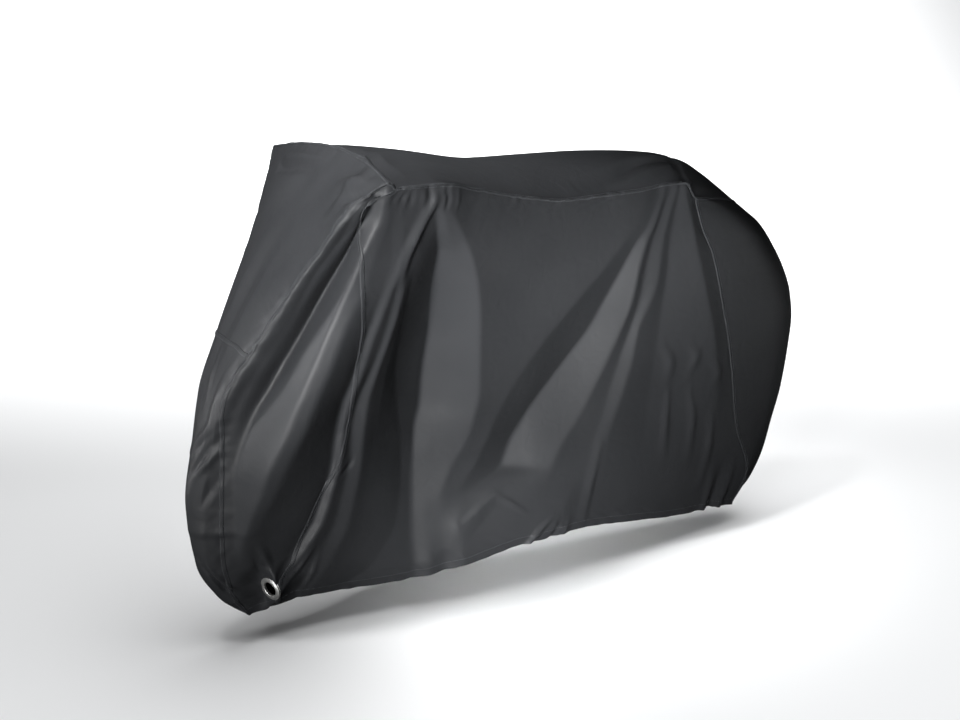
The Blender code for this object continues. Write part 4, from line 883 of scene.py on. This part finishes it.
def coated_polyester():
    """Woven polyester with a polyurethane coat: near black, with a soft satin light on every fold."""
    made, tree, shader = new_material("coated_polyester", Specular_IOR_Level=0.2, IOR=1.5)
    uv = add(tree, "ShaderNodeUVMap", uv_map="cloth").outputs["UV"]
    # the yarns are 0.25 mm apart; they are drawn 1.1 mm apart so that a close view shows them. The
    # bands of a wave pattern of scale 1 are 0.314 apart
    yarn = 0.314 / (1.1 * MM)
    warp = add(tree, "ShaderNodeTexWave", {"Vector": uv, "Scale": yarn}, bands_direction="X")
    weft = add(tree, "ShaderNodeTexWave", {"Vector": uv, "Scale": yarn}, bands_direction="Y")
    weave = add(tree, "ShaderNodeMath", {0: warp.outputs["Fac"], 1: weft.outputs["Fac"]},
                operation="MULTIPLY")
    place = add(tree, "ShaderNodeTexCoord").outputs["Object"]
    # shallow creases about 40 mm apart, left from how it was packed, and a coat that is uneven over 140 mm
    crease = add(tree, "ShaderNodeTexNoise", {"Vector": place, "Scale": 26.0, "Detail": 4.0,
                                              "Roughness": 0.45, "Distortion": 0.6})
    cloud = add(tree, "ShaderNodeTexNoise", {"Vector": place, "Scale": 7.0, "Detail": 3.0})
    satin = add(tree, "ShaderNodeMapRange", {"Value": cloud.outputs["Fac"], "From Min": 0.3, "From Max": 0.7,
                                             "To Min": 0.46, "To Max": 0.54})
    tint = add(tree, "ShaderNodeMix", {"Factor": cloud.outputs["Fac"], "A": linear("#2B2C2E"),
                                       "B": linear("#303133")}, data_type="RGBA")
    fine = add(tree, "ShaderNodeBump", {"Height": weave.outputs["Value"], "Strength": 0.35,
                                        "Distance": 0.00008})
    folds = add(tree, "ShaderNodeBump", {"Height": crease.outputs["Fac"], "Strength": 0.5, "Distance": 0.0022,
                                         "Normal": fine.outputs["Normal"]})
    tree.links.new(tint.outputs["Result"], shader.inputs["Base Color"])
    tree.links.new(satin.outputs["Result"], shader.inputs["Roughness"])
    tree.links.new(folds.outputs["Normal"], shader.inputs["Normal"])
    return made


def polyester_thread():
    """Twisted dark polyester thread: paler and duller than the cloth, so each stitch is a fine dot."""
    made, tree, shader = new_material("polyester_thread", Roughness=0.7)
    place = add(tree, "ShaderNodeTexCoord").outputs["Object"]
    fluff = add(tree, "ShaderNodeTexNoise", {"Vector": place, "Scale": 900.0})
    tint = add(tree, "ShaderNodeMix", {"Factor": fluff.outputs["Fac"], "A": linear("#46494C"),
                                       "B": linear("#63666A")}, data_type="RGBA")
    tree.links.new(tint.outputs["Result"], shader.inputs["Base Color"])
    return made


def nickel_plate():
    """Brass with nickel plate, pressed and tumbled: a pale satin shine, uneven from fine scratches."""
    made, tree, shader = new_material("nickel_plate", Metallic=1.0)
    shader.inputs["Base Color"].default_value = linear("#F2F2F0")
    place = add(tree, "ShaderNodeTexCoord").outputs["Object"]
    wear = add(tree, "ShaderNodeTexNoise", {"Vector": place, "Scale": 260.0, "Detail": 3.0})
    shine = add(tree, "ShaderNodeMapRange", {"Value": wear.outputs["Fac"], "From Min": 0.3, "From Max": 0.7,
                                             "To Min": 0.42, "To Max": 0.52})
    tree.links.new(shine.outputs["Result"], shader.inputs["Roughness"])
    return made


def paper():
    """Matt white paper behind and under the cover: an even pale ground."""
    made, tree, shader = new_material("paper", Roughness=0.9, Specular_IOR_Level=0.0)
    shader.inputs["Base Color"].default_value = linear("#E9EAEB")
    return made


# ---- the cover ----
def build_cover():
    cloth = Cloth()
    main_folds(cloth)
    flatten_collars(cloth)
    puckers(cloth)
    facing = cloth.facing()
    polyester, thread, nickel = coated_polyester(), polyester_thread(), nickel_plate()
    left, right = cloth.column("front_seam"), cloth.column("front_seam", 1)
    bar_left, bar_right = cloth.column("bar_seam"), cloth.column("bar_seam", 1)
    rear_left, rear_right = cloth.column("rear_seam"), cloth.column("rear_seam", 1)
    front = cloth.around(right - cloth.columns, left)
    panels = (
        ("top_cloth", cloth.roof.T, ("top_panel",), 0),
        ("front_upper_cloth", front[:cloth.join + 1], ("front_panel_upper",), 0),
        ("front_lower_cloth", front[cloth.join:], ("front_panel_lower",), 0),
        ("side_front_cloth_left", cloth.around(left, bar_left), ("side_front_left", "eyelet_strip_left"), -1),
        ("side_front_cloth_right", cloth.around(bar_right, right),
         ("side_front_right", "eyelet_strip_right"), 1),
        ("side_cloth_left", cloth.around(bar_left, rear_left), ("side_panel_left",), 0),
        ("side_cloth_right", cloth.around(rear_right, bar_right), ("side_panel_right",), 0),
        ("rear_cloth", cloth.around(rear_left, rear_right), ("rear_panel",), 0),
    )
    for name, grid, nodes, side in panels:
        panel(cloth, facing, name, grid, nodes, polyester, side)
    for name, lines in seam_lines(cloth).items():
        felled_seam(name, cloth, facing, lines, polyester)
        stitches(name + "_stitches", cloth, facing, lines, (-STITCH_ROW, STITCH_ROW),
                              SEAM_LIFT + STITCH_LIFT, thread)
    stitches("hem_stitches", cloth, facing, hem_lines(cloth), (-HEM_WIDTH,),
                          STITCH_LIFT, thread)
    rings = [eyelet("eyelet_left_ring", -1, nickel), eyelet("eyelet_right_ring", 1, nickel)]


# ---- the room ----
def area_light(name, place, aim, size, power, spread):
    light = bpy.data.lights.new(name, "AREA")
    light.shape = "RECTANGLE"
    light.size, light.size_y = size
    light.energy = power
    light.spread = math.radians(spread)
    lamp = bpy.data.objects.new(name, light)
    lamp.location = place
    lamp.rotation_euler = (Vector(aim) - Vector(place)).to_track_quat("-Z", "Y").to_euler()
    bpy.context.scene.collection.objects.link(lamp)
    return lamp


def sweep():
    """A roll of white paper: a floor under the cover that curves up into a wall behind it."""
    work = bmesh.new()
    bmesh.ops.create_grid(work, x_segments=1, y_segments=SWEEP_STEPS, size=1.0)
    work.verts.ensure_lookup_table()
    bend = math.pi / 2 * SWEEP_RADIUS
    reach = SWEEP_FRONT + SWEEP_BACK - SWEEP_RADIUS
    for vert in work.verts:
        along = (vert.co.y + 1) / 2 * SWEEP_LENGTH - reach
        turn = min(max(along / bend, 0.0), 1.0) * math.pi / 2
        past = max(along - bend, 0.0)
        y = SWEEP_BACK - SWEEP_RADIUS * (1 - math.sin(turn)) + min(along, 0.0)
        z = SWEEP_RADIUS * (1 - math.cos(turn)) + past - ORIGIN[2]
        vert.co = (vert.co.x * SWEEP_WIDTH / 2, y, z)
    mesh = bpy.data.meshes.new("floor")
    work.to_mesh(mesh)
    work.free()
    mesh.shade_smooth()
    mesh.materials.append(paper())
    floor = bpy.data.objects.new("floor", mesh)
    # the paper throws no light back on the cover, so that its folds stay dark
    floor.visible_diffuse = False
    floor.visible_glossy = False
    bpy.context.scene.collection.objects.link(floor)
    return floor


def light_room(floor):
    """Soft lamps and a faint even fill. The ground lamp lights the floor alone, not the cover."""
    world = bpy.data.worlds.new("studio")
    bpy.context.scene.world = world
    world.use_nodes = True
    back = world.node_tree.nodes["Background"]
    back.inputs["Color"].default_value = linear("#FFFFFF")
    back.inputs["Strength"].default_value = FILL
    bpy.context.scene.view_settings.view_transform = "Standard"
    lamps = {name: area_light(name, *row) for name, row in LIGHTS.items()}
    lit = bpy.data.collections.new("lit_by_ground")
    lit.objects.link(floor)
    lamps["ground"].light_linking.receiver_collection = lit


def set_camera():
    """The camera looks at the left side from ahead of the handlebar, a little above it."""
    turn, pitch, yaw = (math.radians(angle) for angle in (CAMERA_ROUND, CAMERA_DOWN, CAMERA_ASIDE))
    away = Vector((-math.sin(turn), -math.cos(turn), 0)) * CAMERA_AWAY
    heading = Vector((math.sin(turn + yaw), math.cos(turn + yaw), 0))
    right = Vector((heading.y, -heading.x, 0))
    ahead = heading * math.cos(pitch) + Vector((0, 0, -math.sin(pitch)))
    upward = heading * math.sin(pitch) + Vector((0, 0, math.cos(pitch)))
    pose = Matrix((right, upward, -ahead)).transposed().to_4x4()
    pose.translation = away + Vector((0, 0, CAMERA_HEIGHT)) - Vector(ORIGIN)
    lens = bpy.data.cameras.new("camera")
    lens.lens = LENS
    lens.sensor_width = SENSOR
    lens.sensor_fit = "HORIZONTAL"
    camera = bpy.data.objects.new("camera", lens)
    camera.matrix_world = pose
    bpy.context.scene.collection.objects.link(camera)
    bpy.context.scene.camera = camera


def main():
    set_camera()
    build_cover()
    light_room(sweep())


main()
